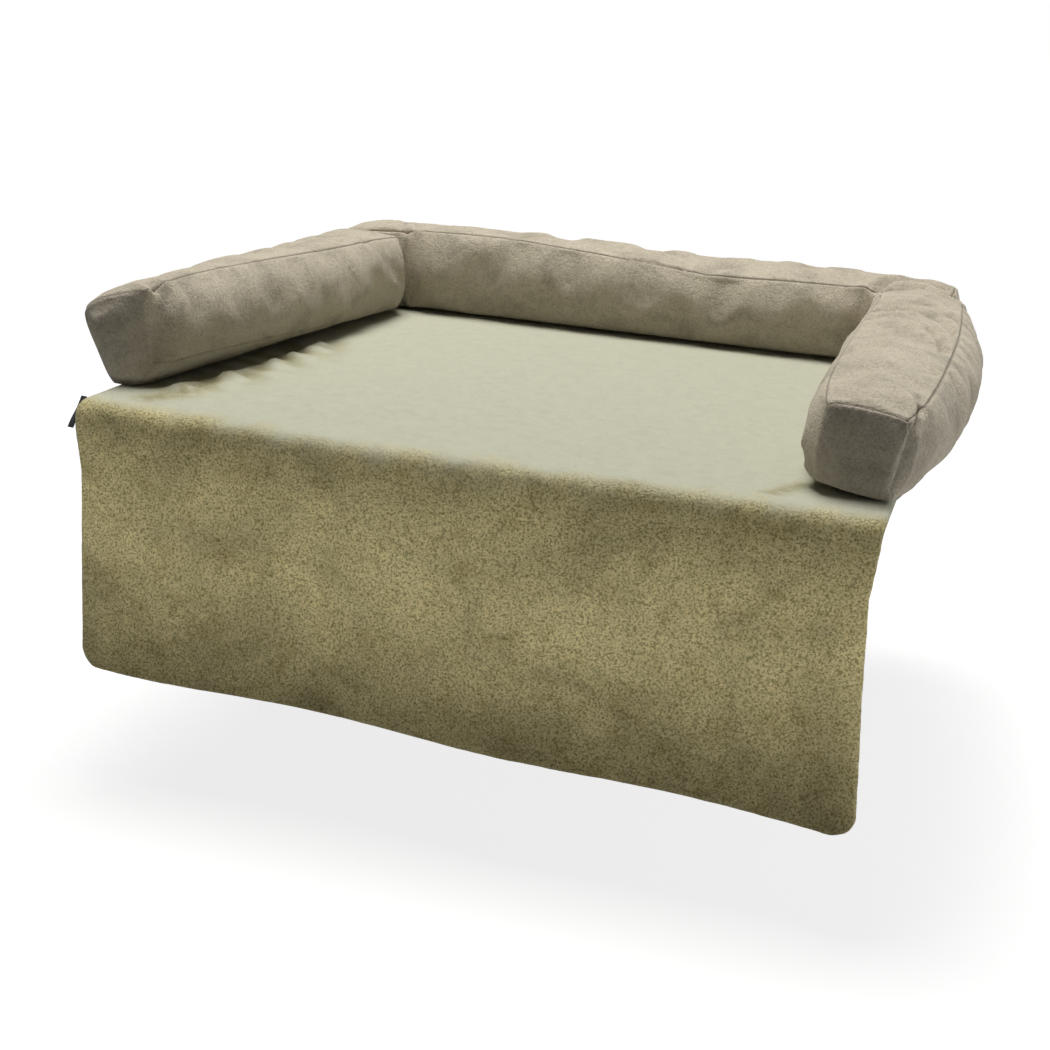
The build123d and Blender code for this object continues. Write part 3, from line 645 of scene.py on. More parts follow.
def suede_material(name, colour):
    """Faux suede: cloudy rubbed nap and a fine woven grain, darkened by painted shade that is kept at the
    piece's points: along the seams' narrow gaps, in creases and fold valleys, and towards the bolsters' feet.
    """
    material, tree, shader, where = new_material(name)
    clouds = noise(tree, where, 0.06, 4.0, 0.6, 0.5)
    rubbed = noise(tree, where, 0.012, 4.0, 0.62, 0.5)
    grain = noise(tree, where, 0.0028, 2.0, 0.6, 0.6)
    base = ramp(tree, clouds, [(0.34, shade(colour, 0.80)), (0.5, colour), (0.66, shade(colour, 1.06))])
    flecks = ramp(tree, rubbed, [(0.34, (0.80, 0.78, 0.75)), (0.5, (0.96, 0.96, 0.95)), (0.66, (1, 1, 1))])
    base = mixed(tree, "MULTIPLY", 0.6, base, flecks)
    threads = ramp(tree, grain, [(0.37, (0.68, 0.66, 0.64)), (0.5, (0.93, 0.93, 0.92)), (0.62, (1, 1, 1))])
    base = mixed(tree, "MULTIPLY", 0.8, base, threads)
    # Painted shade along the seams' narrow gaps, in creases and fold valleys, and towards the bolsters' feet
    painted_shade = math_node(tree, "MULTIPLY", stored(tree, "painted_shade_share"), 0.72)
    base = mixed(tree, "MIX", painted_shade, base, shade(colour, 0.14))
    woven = bump(tree, grain, 0.0026, 0.8)
    nap = bump(tree, rubbed, 0.004, 0.4, woven)
    put_all(tree, shader, Base_Color=base, Roughness=0.88, Specular_IOR_Level=0.18, Sheen_Weight=0.25,
            Sheen_Roughness=0.5, Sheen_Tint=(0.95, 0.9, 0.82, 1),
            Normal=bump(tree, clouds, 0.008, 0.25, nap))
    return material


def woven_material(name, colour, thread=0.0011, depth=0.0003, roughness=0.8):
    """Plain woven cloth: crossed waves of threads on the object's coordinates."""
    material, tree, shader, where = new_material(name)
    ribs = [add_node(tree, "ShaderNodeTexWave", {"bands_direction": axis}, Vector=where,
                     Scale=1 / thread / 3.2, Distortion=0.6, Detail=1.0).outputs["Fac"]
            for axis in ("X", "Z")]
    weave = math_node(tree, "MULTIPLY", *ribs)
    clouds = noise(tree, where, 0.05, 3.0)
    base = ramp(tree, clouds, [(0.35, shade(colour, 0.88)), (0.65, shade(colour, 1.08))])
    threads = ramp(tree, weave, [(0.0, (0.78, 0.78, 0.78)), (0.5, (1, 1, 1))])
    base = mixed(tree, "MULTIPLY", 0.8, base, threads)
    put_all(tree, shader, Base_Color=base, Roughness=roughness, Specular_IOR_Level=0.25,
            Normal=bump(tree, weave, depth, 0.8))
    return material


def coil_material(name, colour, axis="X", pitch=0.0015):
    """Closed zip coil: plastic turns side by side along an axis, with a dark line between them."""
    material, tree, shader, where = new_material(name)
    turns = add_node(tree, "ShaderNodeTexWave", {"bands_direction": axis}, Vector=where,
                     Scale=math.pi / 10 / pitch).outputs["Fac"]
    base = ramp(tree, turns, [(0.15, shade(colour, 0.35)), (0.45, colour), (0.9, shade(colour, 1.25))])
    put_all(tree, shader, Base_Color=base, Roughness=0.45, Normal=bump(tree, turns, 0.0006, 0.9))
    return material


def grip_material(name, colour):
    """Grip cloth of the underside: a woven ground with rows of small rubber dots."""
    material, tree, shader, where = new_material(name)
    cells = add_node(tree, "ShaderNodeTexVoronoi", Vector=where, Scale=110.0, Randomness=0.0)
    dots = ramp(tree, cells.outputs["Distance"], [(0.26, (1, 1, 1)), (0.32, (0, 0, 0))])
    threads = noise(tree, where, 0.0014, 2.0)
    ground = ramp(tree, threads, [(0.3, shade(colour, 0.8)), (0.7, shade(colour, 1.12))])
    base = mixed(tree, "MIX", dots, ground, shade(colour, 0.45))
    roughness = ramp(tree, dots, [(0.0, (0.85,) * 3), (1.0, (0.5,) * 3)])
    weave = bump(tree, threads, 0.0003, 0.5)
    put_all(tree, shader, Base_Color=base, Roughness=roughness, Normal=bump(tree, dots, 0.0008, 0.9, weave))
    return material


def foam_material(name, colour):
    """Open-cell foam: fine pores, darker at their middles."""
    material, tree, shader, where = new_material(name)
    pores = add_node(tree, "ShaderNodeTexVoronoi", Vector=where, Scale=600.0).outputs["Distance"]
    base = ramp(tree, pores, [(0.1, shade(colour, 0.7)), (0.4, colour)])
    put_all(tree, shader, Base_Color=base, Roughness=0.95, Normal=bump(tree, pores, 0.0008, 0.7))
    return material


def metal_material(name, colour):
    """Zip metal: brushed, with faint handling marks."""
    material, tree, shader, where = new_material(name)
    marks = noise(tree, where, 0.003, 4.0, 0.7)
    base = ramp(tree, marks, [(0.3, shade(colour, 0.8)), (0.7, colour)])
    roughness = ramp(tree, marks, [(0.3, (0.42,) * 3), (0.7, (0.26,) * 3)])
    put_all(tree, shader, Base_Color=base, Metallic=1.0, Roughness=roughness,
            Normal=bump(tree, marks, 0.0001, 0.4))
    return material


def seen_ray(tree):
    """One for the camera's rays and those of reflections and glass, and none for the light on surfaces."""
    path = add_node(tree, "ShaderNodeLightPath")
    seen = math_node(tree, "MAXIMUM", path.outputs["Is Camera Ray"], path.outputs["Is Glossy Ray"])
    return math_node(tree, "MAXIMUM", seen, path.outputs["Is Transmission Ray"])


def floor_material(name, colour, near, far, reach):
    """Pale floor that the camera and reflections see as white, from its own glow: near under the bed, where
    its lit colour adds to it and the bed's shadow shows, and far beyond reach metres, where little light
    falls."""
    material, tree, shader, where = new_material(name)
    grain = noise(tree, where, 0.6, 2.0)
    put_all(tree, shader, Base_Color=ramp(tree, grain, [(0.3, shade(colour, 0.98)), (0.7, colour)]),
            Roughness=0.9, Specular_IOR_Level=0.0)
    output = next(n for n in tree.nodes if n.type == "OUTPUT_MATERIAL")
    away = add_node(tree, "ShaderNodeVectorMath", {"operation": "LENGTH"}, Vector=where).outputs["Value"]
    glow = ramp(tree, math_node(tree, "DIVIDE", away, reach), [(0.15, (near,) * 3), (1.0, (far,) * 3)])
    light = add_node(tree, "ShaderNodeEmission", Color=(1, 1, 1, 1),
                     Strength=math_node(tree, "MULTIPLY", seen_ray(tree), glow))
    both = add_node(tree, "ShaderNodeAddShader")
    put(tree, both.inputs[0], shader.outputs["BSDF"])
    put(tree, both.inputs[1], light.outputs["Emission"])
    put(tree, output.inputs["Surface"], both.outputs["Shader"])
    return material


def finish_of(name, make, *words):
    """The material of a name, made when it is first asked for."""
    found = bpy.data.materials.get(name)
    return found if found else make(name, *words)


def set_material(node, material):
    """Gives a CAD node's object a material in all its slots."""
    mesh = nodes[node].data
    if not mesh.materials:
        mesh.materials.append(material)
    for i in range(len(mesh.materials)):
        mesh.materials[i] = material


# Settings

class PETBED_PG_cloth(bpy.types.PropertyGroup):
    # Seat pile: paler, greyer painted sheen; flap pile: brighter, yellower painted light on its hanging face
    seat: FloatVectorProperty(name="Seat pile", description="Colour of the plush where its pile lies smooth",
                              subtype="COLOR", size=3, min=0, max=1, default=(0.60, 0.60, 0.47))
    flap: FloatVectorProperty(name="Flap pile", description="Colour of the plush where its pile stands up",
                              subtype="COLOR", size=3, min=0, max=1, default=(0.86, 0.755, 0.40))
    suede: FloatVectorProperty(name="Faux suede", description="Colour of the bolsters' cloth",
                               subtype="COLOR", size=3, min=0, max=1, default=(0.68, 0.61, 0.485))
    lining: FloatVectorProperty(name="Lining", description="Colour of the flap's rear cloth", subtype="COLOR",
                                size=3, min=0, max=1, default=(0.30, 0.27, 0.21))
    grip: FloatVectorProperty(name="Grip cloth", description="Colour of the mat's underside", subtype="COLOR",
                              size=3, min=0, max=1, default=(0.12, 0.105, 0.09))
    label: FloatVectorProperty(name="Label", description="Colour of the blank side label", subtype="COLOR",
                               size=3, min=0, max=1, default=(0.006, 0.006, 0.008))
    metal: FloatVectorProperty(name="Zip metal", description="Colour of the sliders and pulls",
                               subtype="COLOR", size=3, min=0, max=1, default=(0.42, 0.38, 0.33))
    tape: FloatVectorProperty(name="Zip tape", description="Colour of the zips' tapes and coils",
                              subtype="COLOR", size=3, min=0, max=1, default=(0.16, 0.135, 0.105))
    foam: FloatVectorProperty(name="Foam", description="Colour of the foam inside", subtype="COLOR",
                              size=3, min=0, max=1, default=(0.75, 0.68, 0.45))


class PETBED_PG_sewing(bpy.types.PropertyGroup):
    groove: FloatProperty(name="Seam groove", description="Depth of the stitch line between two panels",
                          default=0.0013, min=0, max=0.004, unit="LENGTH")
    gather: FloatProperty(name="Seam gathers", description="Depth of the small gathers along a seam",
                          default=0.0007, min=0, max=0.005, unit="LENGTH")
    slack: FloatProperty(name="Slack", description="Depth of the loose swell in the bolsters' cloth",
                         default=0.0016, min=0, max=0.01, unit="LENGTH")
    wrinkle: FloatProperty(name="Wrinkle limit", description="Most that a simulated wrinkle moves the cloth",
                           default=0.0028, min=0, max=0.02, unit="LENGTH")
    grid: FloatProperty(name="Cloth grid", description="Size of the bolsters' mesh faces",
                        default=0.0031, min=0.002, max=0.02, unit="LENGTH")
    draft: FloatProperty(name="Simulated grid", description="Size of the faces that the simulation moves",
                         default=0.006, min=0.004, max=0.02, unit="LENGTH")


def cloth():
    """Colours that the user set."""
    return bpy.context.scene.petbed_cloth


def sewing():
    """Sewing sizes that the user set."""
    return bpy.context.scene.petbed_sewing


# Bolsters

def bolster_section(plan, at):
    """Corners (outer bottom, outer top, inner top, inner bottom) of the sections at places 0 to 1, each the
    one before plus a width or height along the leaning section's own axes, and the four sides' crowns."""
    top_width, bottom_width = (BOLSTER_WIDTH * smooth_table(plan["places"], plan[key], at)
                               for key in ("top_width", "bottom_width"))
    outer_height, inner_height = (BOLSTER_HEIGHT * smooth_table(plan["places"], plan[key], at)
                                  for key in ("outer_height", "inner_height"))
    crowns = [BOLSTER_CROWN * smooth_table(plan["places"], values, at) for values in plan["crowns"]]
    offset = plan["edge"] + BOLSTER_WIDTH * smooth_table(plan["places"], plan["overhang"], at)
    tilt = np.radians(smooth_table(plan["places"], plan["lean"], at))
    up = np.stack([np.sin(tilt), np.cos(tilt)], axis=-1)
    inward = np.stack([-np.cos(tilt), np.sin(tilt)], axis=-1)
    slope = bottom_width * np.sin(tilt)
    belly = 4 * crowns[BOTTOM] * np.cos(tilt)
    low = np.maximum((belly - slope) / (2 * belly), 0)
    lift = np.maximum(0, belly * low ** 2 - REST_DEPTH) * (low > 0)
    foot = np.stack([offset, lift], axis=-1)
    corners = np.stack([foot, foot + up * outer_height[:, None],
                        foot + inward * top_width[:, None] + up * inner_height[:, None],
                        foot + inward * bottom_width[:, None]], axis=1)
    return corners, np.stack(crowns, axis=1)


def to_world(plan, flat, along, level=MAT_THICKNESS):
    """Section coordinates (out from the bed's centre, up from the mat) and place along, as points."""
    along = np.broadcast_to(along, flat.shape[:-1])
    if plan["side"]:
        return np.stack([flat[..., 0] * plan["side"], along, flat[..., 1] + level], axis=-1)
    return np.stack([along, flat[..., 0], flat[..., 1] + level], axis=-1)


def bolster_sides(plan, first, last, u, t):
    """The four sides over shares u along and t across: chord plus 4 x crown x t x (1 - t) outward. Gives each
    side's points, its outward normals, which turn to the seam's bisector over SEAM_ROUND, and its widths."""
    corners, crowns = bolster_section(plan, u)
    along = first + u[:, None] * (last - first)
    runs = [corners[:, (k + 1) % 4] - corners[:, k] for k in range(4)]
    outs = [unit(np.stack([run[:, 1], -run[:, 0]], axis=-1)) for run in runs]
    sides = []
    for k in range(4):
        width = np.linalg.norm(runs[k], axis=1)[:, None]
        bow = 4 * crowns[:, k, None] * t * (1 - t)
        flat = corners[:, k, None] + runs[k][:, None] * t[None, :, None] + outs[k][:, None] * bow[..., None]
        at_start = bell(t * width, SEAM_ROUND)[..., None]
        at_end = bell((1 - t) * width, SEAM_ROUND)[..., None]
        before = unit(outs[k] + outs[k - 1])[:, None]
        after = unit(outs[k] + outs[(k + 1) % 4])[:, None]
        normal = unit(outs[k][:, None] * (1 - at_start) * (1 - at_end) + before * at_start + after * at_end)
        sides.append((to_world(plan, flat, along), to_world(plan, normal, 0, 0), width))
    return sides


def coons(ring):
    """Patch inside a ring of four edges: both pairs of edges blended, less the corners' bilinear blend."""
    left, top, right, bottom = ring[0], ring[1], ring[2][::-1], ring[3][::-1]
    s = np.linspace(0, 1, len(left))[:, None, None]
    w = s.reshape(1, -1, 1)
    sides = (1 - w) * left[:, None] + w * right[:, None] + (1 - s) * bottom[None] + s * top[None]
    near_corners = (1 - s) * ((1 - w) * left[0] + w * right[0])
    far_corners = s * ((1 - w) * left[-1] + w * right[-1])
    return sides - near_corners - far_corners


def end_patch(ring, t):
    """Coons patch whose inner points keep the ring's own spacing t on both ways."""
    even = np.linspace(0, 1, len(t))
    patch = coons([smooth_table(t, edge, even) for edge in ring])
    patch = smooth_table(even, patch, t)
    patch = smooth_table(even, patch.transpose(1, 0, 2), t).transpose(1, 0, 2)
    patch[:, 0], patch[:, -1] = ring[0], ring[2][::-1]
    patch[-1], patch[0] = ring[1], ring[3][::-1]
    return patch


def line_distance(points, line):
    """Distance of points to a line of several straight runs."""
    nearest = np.full(points.shape[:-1], np.inf)
    for start, end in zip(line[:-1], line[1:]):
        run = end - start
        share = np.clip((points - start) @ run / (run @ run), 0, 1)
        nearest = np.minimum(nearest, np.linalg.norm(points - start - share[..., None] * run, axis=-1))
    return nearest


def creased(name, points, sides, u, t):
    """Sum of a bolster's creases at points: each a bell-shaped valley along its line, with a low roll beside
    it, and a pucker at each corner of the four sides. Also gives how dark the valleys are, a painted shade."""
    total = np.zeros(points.shape[:-1])
    dark = np.zeros(points.shape[:-1])
    for side, path, width, depth in CREASES[name]:
        rows = np.interp([a for a, _ in path], u, np.arange(len(u))).round().astype(int)
        columns = np.interp([c for _, c in path], t, np.arange(len(t))).round().astype(int)
        away = line_distance(points, sides[side][0][rows, columns])
        total += depth * (0.35 * bell(away - 2.2 * width, width) - bell(away, width))
        dark = np.maximum(dark, CREASE_PAINTED_SHADE * min(depth / CREASE_FULL_DEPTH, 1) * bell(away, 0.6 * width))
    for side, _, _ in sides:
        for corner in (side[0, 0], side[-1, 0]):
            total -= PUCKER_DEPTH * bell(np.linalg.norm(points - corner, axis=-1), PUCKER_RADIUS)
    for side, height, radius in STUFFED_TIPS.get(name, ()):
        total += height * bell(np.linalg.norm(points - sides[side][0][0, 0], axis=-1), radius)
    return total, dark


def seam_fall(distance, radius, groove):
    """Sewn edge seen across: the cloth turns over radius, and a narrow stitch groove lies on the line."""
    return -0.3 * radius * np.clip(1 - distance / radius, 0, 1) ** 2 - groove * bell(distance, GROOVE_WIDTH)


def softened(piece, line, reach, times):
    """Rounds a corner: points near a line of points go halfway to the mean of their neighbours, again and
    again, less so from reach metres on."""
    mesh = piece.data
    points = np.empty(len(mesh.vertices) * 3)
    mesh.vertices.foreach_get("co", points)
    points = points.reshape(-1, 3)
    ends = np.empty(len(mesh.edges) * 2, np.int32)
    mesh.edges.foreach_get("vertices", ends)
    near, far = np.concatenate([ends.reshape(-1, 2), ends.reshape(-1, 2)[:, ::-1]]).T
    count = np.bincount(near, minlength=len(points))
    share = 0.5 * eased(2 - line_distance(points, line) / reach)[:, None]
    for _ in range(times):
        mean = np.stack([np.bincount(near, points[far, axis], len(points)) for axis in range(3)], axis=1)
        points += share * (mean / count[:, None] - points)
    mesh.vertices.foreach_set("co", points.ravel())
    mesh.update()


def right_arm_folds(side, along, across, share):
    """Arcs across the top's rear half, valleys of a raised cosine of the distance from a flattened centre, and
    gathers on the outer side, the same of the place along plus a slant, fading away from the seam. Gives
    the height and how dark the valleys are, a painted shade."""
    if side == TOP:
        centre = along[0] + ARC_CENTRE_SHARES[0] * (along[-1] - along[0])
        sideways = ARC_FLATTENING * (across - ARC_CENTRE_SHARES[1] * across[:, -1:])
        radius = np.hypot(along - centre, sideways)
        valley = (0.5 + 0.5 * np.cos(2 * math.pi * radius / ARC_STEP)) ** 3
        reach = eased((radius - ARC_REACH[0]) / ARC_EASE[0]) * eased((ARC_REACH[1] - radius) / ARC_EASE[1])
        reach = reach * eased((along - centre) / ARC_EASE[0])
        return -ARC_DEPTH * (valley - ARC_MEAN) * reach, FOLD_PAINTED_SHADE * valley ** 2 * reach
    if side == OUTER:
        down = across[:, -1:] - across
        valley = (0.5 + 0.5 * np.cos(2 * math.pi * (along + GATHER_SLANT * down) / GATHER_STEP)) ** 2
        strength = np.exp(-down / GATHER_FADE) * eased((share - GATHER_START_SHARE) / GATHER_EASE_SHARE)
        return -GATHER_DEPTH * (valley - GATHER_MEAN) * strength, FOLD_PAINTED_SHADE * valley ** 2 * strength
    return np.zeros(np.broadcast_shapes(along.shape, across.shape)), 0.0


def zip_span(name):
    """Lowest and highest place along its bolster of a zip's tapes."""
    low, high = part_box(name + "_zip_tape_upper")
    axis = 0 if name == "back" else 1
    return low[axis], high[axis]


def zip_calm(name, along, up_from_seam, width):
    """One where the cloth is free, easing to none over the zip's tapes, and the depth it sinks there."""
    low, high = zip_span(name)
    beside = np.abs(along - (low + high) / 2) - (high - low) / 2
    above = np.abs(up_from_seam - ZIP_HEIGHT_SHARE * width)
    calm = np.maximum(eased(beside / ZIP_EASE[0]), eased((above - ZIP_HALF) / ZIP_EASE[1]))
    past_end = np.clip(beside / POCKET_EASE[0], 0, 1)
    past_edge = np.clip((above - POCKET_HALF) / POCKET_EASE[1], 0, 1)
    return calm, -POCKET_DEPTH * (1 - eased(np.maximum(past_end, past_edge)))


def free_share(plan, side, along, last):
    """One where the cloth may swell, easing to none where a neighbour presses on its inner side."""
    if side != INNER:
        return np.ones_like(along)
    if plan["side"]:
        return eased((last - along) / 0.03)
    return eased((HALF_WIDTH - PRESSED_SHARE * BOLSTER_WIDTH - np.abs(along)) / 0.02)


def smoothed(field, times):
    """Means of each value and its neighbours, in both ways, with the edges left as they are."""
    for _ in range(times):
        field[1:-1] = (field[:-2] + 2 * field[1:-1] + field[2:]) / 4
        field[:, 1:-1] = (field[:, :-2] + 2 * field[:, 1:-1] + field[:, 2:]) / 4
    return field


def settled(draft, held):
    """Points of a draft once it has been blown up as cloth, with the held ones kept. The draft is removed."""
    draft.vertex_groups.new(name="sewn").add(held, 1.0, "REPLACE")
    modifier = draft.modifiers.new("Cloth", "CLOTH")
    modifier.collision_settings.use_collision = False
    for key, value in CLOTH_SETTINGS.items():
        setattr(modifier.settings, key, value)
    modifier.settings.effector_weights.gravity = 0
    scene = bpy.context.scene
    for step in range(1, CLOTH_FRAMES + 1):
        scene.frame_set(step)
    shape = draft.evaluated_get(bpy.context.evaluated_depsgraph_get()).data
    points = np.empty(len(shape.vertices) * 3)
    shape.vertices.foreach_get("co", points)
    scene.frame_set(1)
    mesh = draft.data
    bpy.data.objects.remove(draft)
    bpy.data.meshes.remove(mesh)
    return points.reshape(-1, 3)


def puffed(name, plan, first, last, u, t):
    """Wrinkles of a bolster's outer, top and inner sides at shares u and t, from a cloth simulation. An even
    draft of the bolster, its cloth cut a little too large, is blown up with its seams, bottom, ends and zip
    held. What the swell adds all along is taken off, because the crown has it, and the rest is smoothed and
    limited."""
    values = sewing()
    even_u = np.linspace(0, 1, int((last - first) / values.draft))
    even_t = np.linspace(0, 1, int(BOLSTER_WIDTH / values.draft))
    sides = bolster_sides(plan, first, last, even_u, even_t)
    along = first + even_u[:, None] * (last - first)
    rim = np.minimum(even_u, 1 - even_u)[:, None] * (last - first)
    grids, held = [], []
    for k, (points, normals, width) in enumerate(sides):
        across = even_t * width
        near = np.minimum(across, width - across)
        fade = eased(near / DRAFT_FADE) * eased(rim / DRAFT_FADE)
        fixed = (near < 1e-6) | (rim < 1e-6) | (k == BOTTOM)
        if k == OUTER:
            fixed |= zip_calm(name, along, across, width)[0] < 0.5
        fixed |= free_share(plan, k, along, last) < 0.5
        swell = DRAFT_SWELL * fade * waves(points, DRAFT_SWELL_LENGTH, 3 + k, 9)
        grids.append(points + normals * swell[..., None])
        held.append(fixed)
    for end in (0, -1):
        patch = end_patch([side[0][end] for side in sides], even_t)
        grids.append(patch)
        held.append(np.ones(patch.shape[:2], bool))
    points = np.concatenate([grid.reshape(-1, 3) for grid in grids])
    _, kept, joined = np.unique(np.round(points, 6), axis=0, return_index=True, return_inverse=True)
    joined = joined.ravel()
    # The four sides and the last end are numbered the other way round from the first end
    faces = patch_faces(grids, (0, 1, 2, 3, 5))
    draft = mesh_object(name + "_draft", points[kept], joined[faces].tolist())
    weld(draft, 1e-9)
    sewn = np.concatenate([fixed.ravel() for fixed in held])
    moved = settled(draft, np.unique(joined[sewn]).tolist())[joined]
    fields, start = [], 0
    for base, normals, _ in sides[:BOTTOM]:
        count = base.shape[0] * base.shape[1]
        shift = moved[start:start + count].reshape(base.shape) - base
        start += count
        field = (shift * normals).sum(axis=-1)
        mean = field[DRAFT_END_ROWS:-DRAFT_END_ROWS].mean(axis=0)
        field = smoothed(field - mean * eased(rim / DRAFT_END_EASE), 2)
        field = values.wrinkle * np.tanh(field / values.wrinkle)
        field = smooth_table(even_u, field, u)
        fields.append(smooth_table(even_t, field.T, t).T)
    return fields


def front_softness(plan, side, across, t, in_front):
    """Share by which an arm's front edge turns softly, without a stitch line: all of its inner side below the
    top seam, and of its bottom less and less towards the outer side."""
    if plan["side"] and side == INNER:
        return eased(across / SEAM_CALM) * in_front
    if plan["side"] and side == BOTTOM:
        return (1 - t) * in_front
    return np.zeros_like(across)


def edge_fall(plan, side, across, width, along, first, last):
    """Fall of a side's cloth towards its seams and its ends, and where the bolsters meet at the rear. Also
    gives the share of its front edge that turns softly."""
    groove = sewing().groove
    to_front, to_rear = along - first, last - along
    end_near = np.minimum(to_front, to_rear)
    soft = front_softness(plan, side, across, across / width, to_front < to_rear)
    fall = seam_fall(np.minimum(across, width - across), SEAM_ROUND, groove)
    fall = fall + (1 - soft) * seam_fall(end_near, SEAM_ROUND, groove)
    fall = fall + soft * seam_fall(end_near, SOFT_ROUND, 0.0)
    if plan["side"]:
        fall = fall + seam_fall(to_rear, REAR_ROUND, 0.0)
    elif side in (TOP, INNER):
        beside_arm = eased((np.abs(along) - HALF_WIDTH + MEETING_SHARE * BOLSTER_WIDTH) / SEAM_CALM)
        inner_edge = width - across if side == TOP else across
        fall = fall + beside_arm * seam_fall(inner_edge, REAR_ROUND, 0.0)
    return fall, soft


def loose_swell(name, plan, side, points, near, end_near):
    """Slack of a side's cloth, and its gathers, which are longer across the seam than along it."""
    values = sewing()
    seed = BOLSTER_SEEDS[name] + side
    runs = ((share * values.slack, size, seed + step, 9) for share, size, step in SLACK_SWELLS)
    squeeze = (1.0, 1.0, 0.35) if plan["side"] else (1.0, 0.35, 0.35)
    gathers = values.gather * waves(points * np.array(squeeze), GATHER_LENGTH, seed, 9)
    return swells(points, *runs) + gathers * np.exp(-near / GATHER_REACH)


def side_skin(name, plan, side, sides, first, last, u, t, wrinkles):
    """How a side's cloth moves along its outward normals over shares u and t: the fall at its edges, creases,
    the pillow of an inner side, and the loose cloth with its simulated wrinkles. It is calm over a zip, and
    doesn't swell where a neighbour presses on it. Also how dark it is: painted shade along its seams, in its
    creases and fold valleys, and towards its foot."""
    points, normals, width = sides[side]
    along = first + u[:, None] * (last - first)
    across = t * width
    near = np.minimum(across, width - across)
    end_near = np.minimum(along - first, last - along)
    fall, soft = edge_fall(plan, side, across, width, along, first, last)
    folds, dark = creased(name, points, sides, u, t)
    swell = fall + folds
    # Painted shade at the foot: an inner side darker towards its foot, the bottom dark all over
    if side in (INNER, BOTTOM):
        dark = np.maximum(dark, FOOT_PAINTED_SHADE * (t ** 2 if side == INNER else 1.0))
    if side == INNER:
        below_top = 1 - np.clip(1 - across / PILLOW_TOP, 0, 1) ** 2
        above_foot = 1 - np.clip(1 - (width - across) / PILLOW_FOOT, 0, 1) ** 2
        swell = swell + PILLOW[name] * below_top * above_foot * eased(end_near / PILLOW_END)
    loose = loose_swell(name, plan, side, points, near, end_near)
    if name == "right_arm":
        arcs, shaded = right_arm_folds(side, along, across, u[:, None])
        loose = loose + arcs
        dark = np.maximum(dark, shaded)
    loose = loose * BOTTOM_SLACK_SHARE if side == BOTTOM else loose + wrinkles[side]
    swell = swell + loose * eased(near / SEAM_CALM) * eased(end_near / END_CALM)
    if side == OUTER:
        calm, sunk = zip_calm(name, along, across, width)
        swell = swell * calm + sunk
    swell = np.where(swell > 0, swell * free_share(plan, side, along, last), swell)
    # Painted shade along the seams' narrow gaps, none on the soft front turn, joined with the rest
    painted_shade = np.maximum(bell(near, SEAM_SHADE_WIDTH), bell(end_near, SEAM_SHADE_WIDTH) * (1 - soft))
    return normals * swell[..., None], np.maximum(painted_shade, dark)


def end_skin(name, plan, end, dome, sides, shifts, u, t):
    """Domed end of a bolster, its first with 0 and its last with -1: the patch inside the sides' end edges, a
    dome of a power of 16 x s x (1 - s) x t x (1 - t) outwards, and what moved the sides, fading in from the
    edge. Also how dark it is: painted shade along its seams, in creases and towards its foot."""
    values = sewing()
    outward = np.array([0.0, 1.0, 0.0] if plan["side"] else [1.0, 0.0, 0.0]) * (-1 if end == 0 else 1)
    reach = np.minimum(t, 1 - t) * BOLSTER_WIDTH
    edge = np.minimum(reach[:, None], reach[None])
    flat = end_patch([side[0][end] for side in sides], t)
    moved = end_patch([shift[end] for shift in shifts], t)
    bulge = dome * (16 * t[:, None] * (1 - t[:, None]) * t[None] * (1 - t[None])) ** DOME_POWER
    keep = bell(edge, END_BLEND)
    folds, dark = creased(name, flat, sides, u, t)
    # Painted shade, darker towards the end's foot
    dark = np.maximum(dark, FOOT_PAINTED_SHADE * (1 - t[:, None]) ** 2)
    seed = BOLSTER_SEEDS[name] + end
    loose = swells(flat, (values.slack, 0.09, seed + 60, 9), (values.gather, 0.024, seed + 50, 9))
    swell = (folds + loose) * (1 - keep) * eased(edge / END_SWELL_EDGE)
    groove = values.groove * 0.5 * bell(edge - END_GROOVE_INSET, GROOVE_WIDTH) * eased(edge / END_GROOVE_EASE)
    rise = bulge + swell - groove
    if plan["side"] and end == -1:
        rise = np.minimum(rise, bulge)
    # Painted shade along the seams' narrow gaps, none where the soft front corner turns
    painted_shade = np.maximum(bell(reach, SEAM_SHADE_WIDTH)[:, None], bell(reach, SEAM_SHADE_WIDTH)[None])
    if plan["side"] and end == 0:
        to_inner = ((1 - t) * BOLSTER_WIDTH)[None]
        to_others = np.minimum(reach[:, None], (t * BOLSTER_WIDTH)[None])
        painted_shade = np.where(to_inner < to_others, 0.0, painted_shade)
    return flat + moved * keep[..., None] + outward * rise[..., None], np.maximum(painted_shade, dark)


def bolster_skin(name, plan, first, last):
    """A closed bolster of four crowned sides and two domed ends, whose points move alike on both sides of a
    seam, and the line of its soft front corner."""
    values = sewing()
    u = clustered(int((last - first) / values.grid), 0.25)
    t = clustered(int(BOLSTER_WIDTH / values.grid), 0.22)
    sides = bolster_sides(plan, first, last, u, t)
    wrinkles = puffed(name, plan, first, last, u, t)
    grids, shifts, shares = [], [], []
    for side in range(4):
        shift, share = side_skin(name, plan, side, sides, first, last, u, t, wrinkles)
        shifts.append(shift)
        grids.append(sides[side][0] + shift)
        shares.append(share)
    for end, dome in zip((0, -1), plan["domes"]):
        patch, share = end_skin(name, plan, end, dome, sides, shifts, u, t)
        grids.append(patch)
        shares.append(share)
    points = np.concatenate([grid.reshape(-1, 3) for grid in grids])
    points[:, 2] = np.maximum(points[:, 2], MAT_THICKNESS + GAP)
    piece = mesh_object(name + "_bolster", points, patch_faces(grids).tolist())
    # Painted shade along the seams, in creases and fold valleys, and towards the foot
    add_attribute(piece, "painted_shade_share", np.concatenate([share.ravel() for share in shares]))
    low, high = SOFT_SHARES
    return piece, grids[INNER][0][(t > low) & (t < high)]


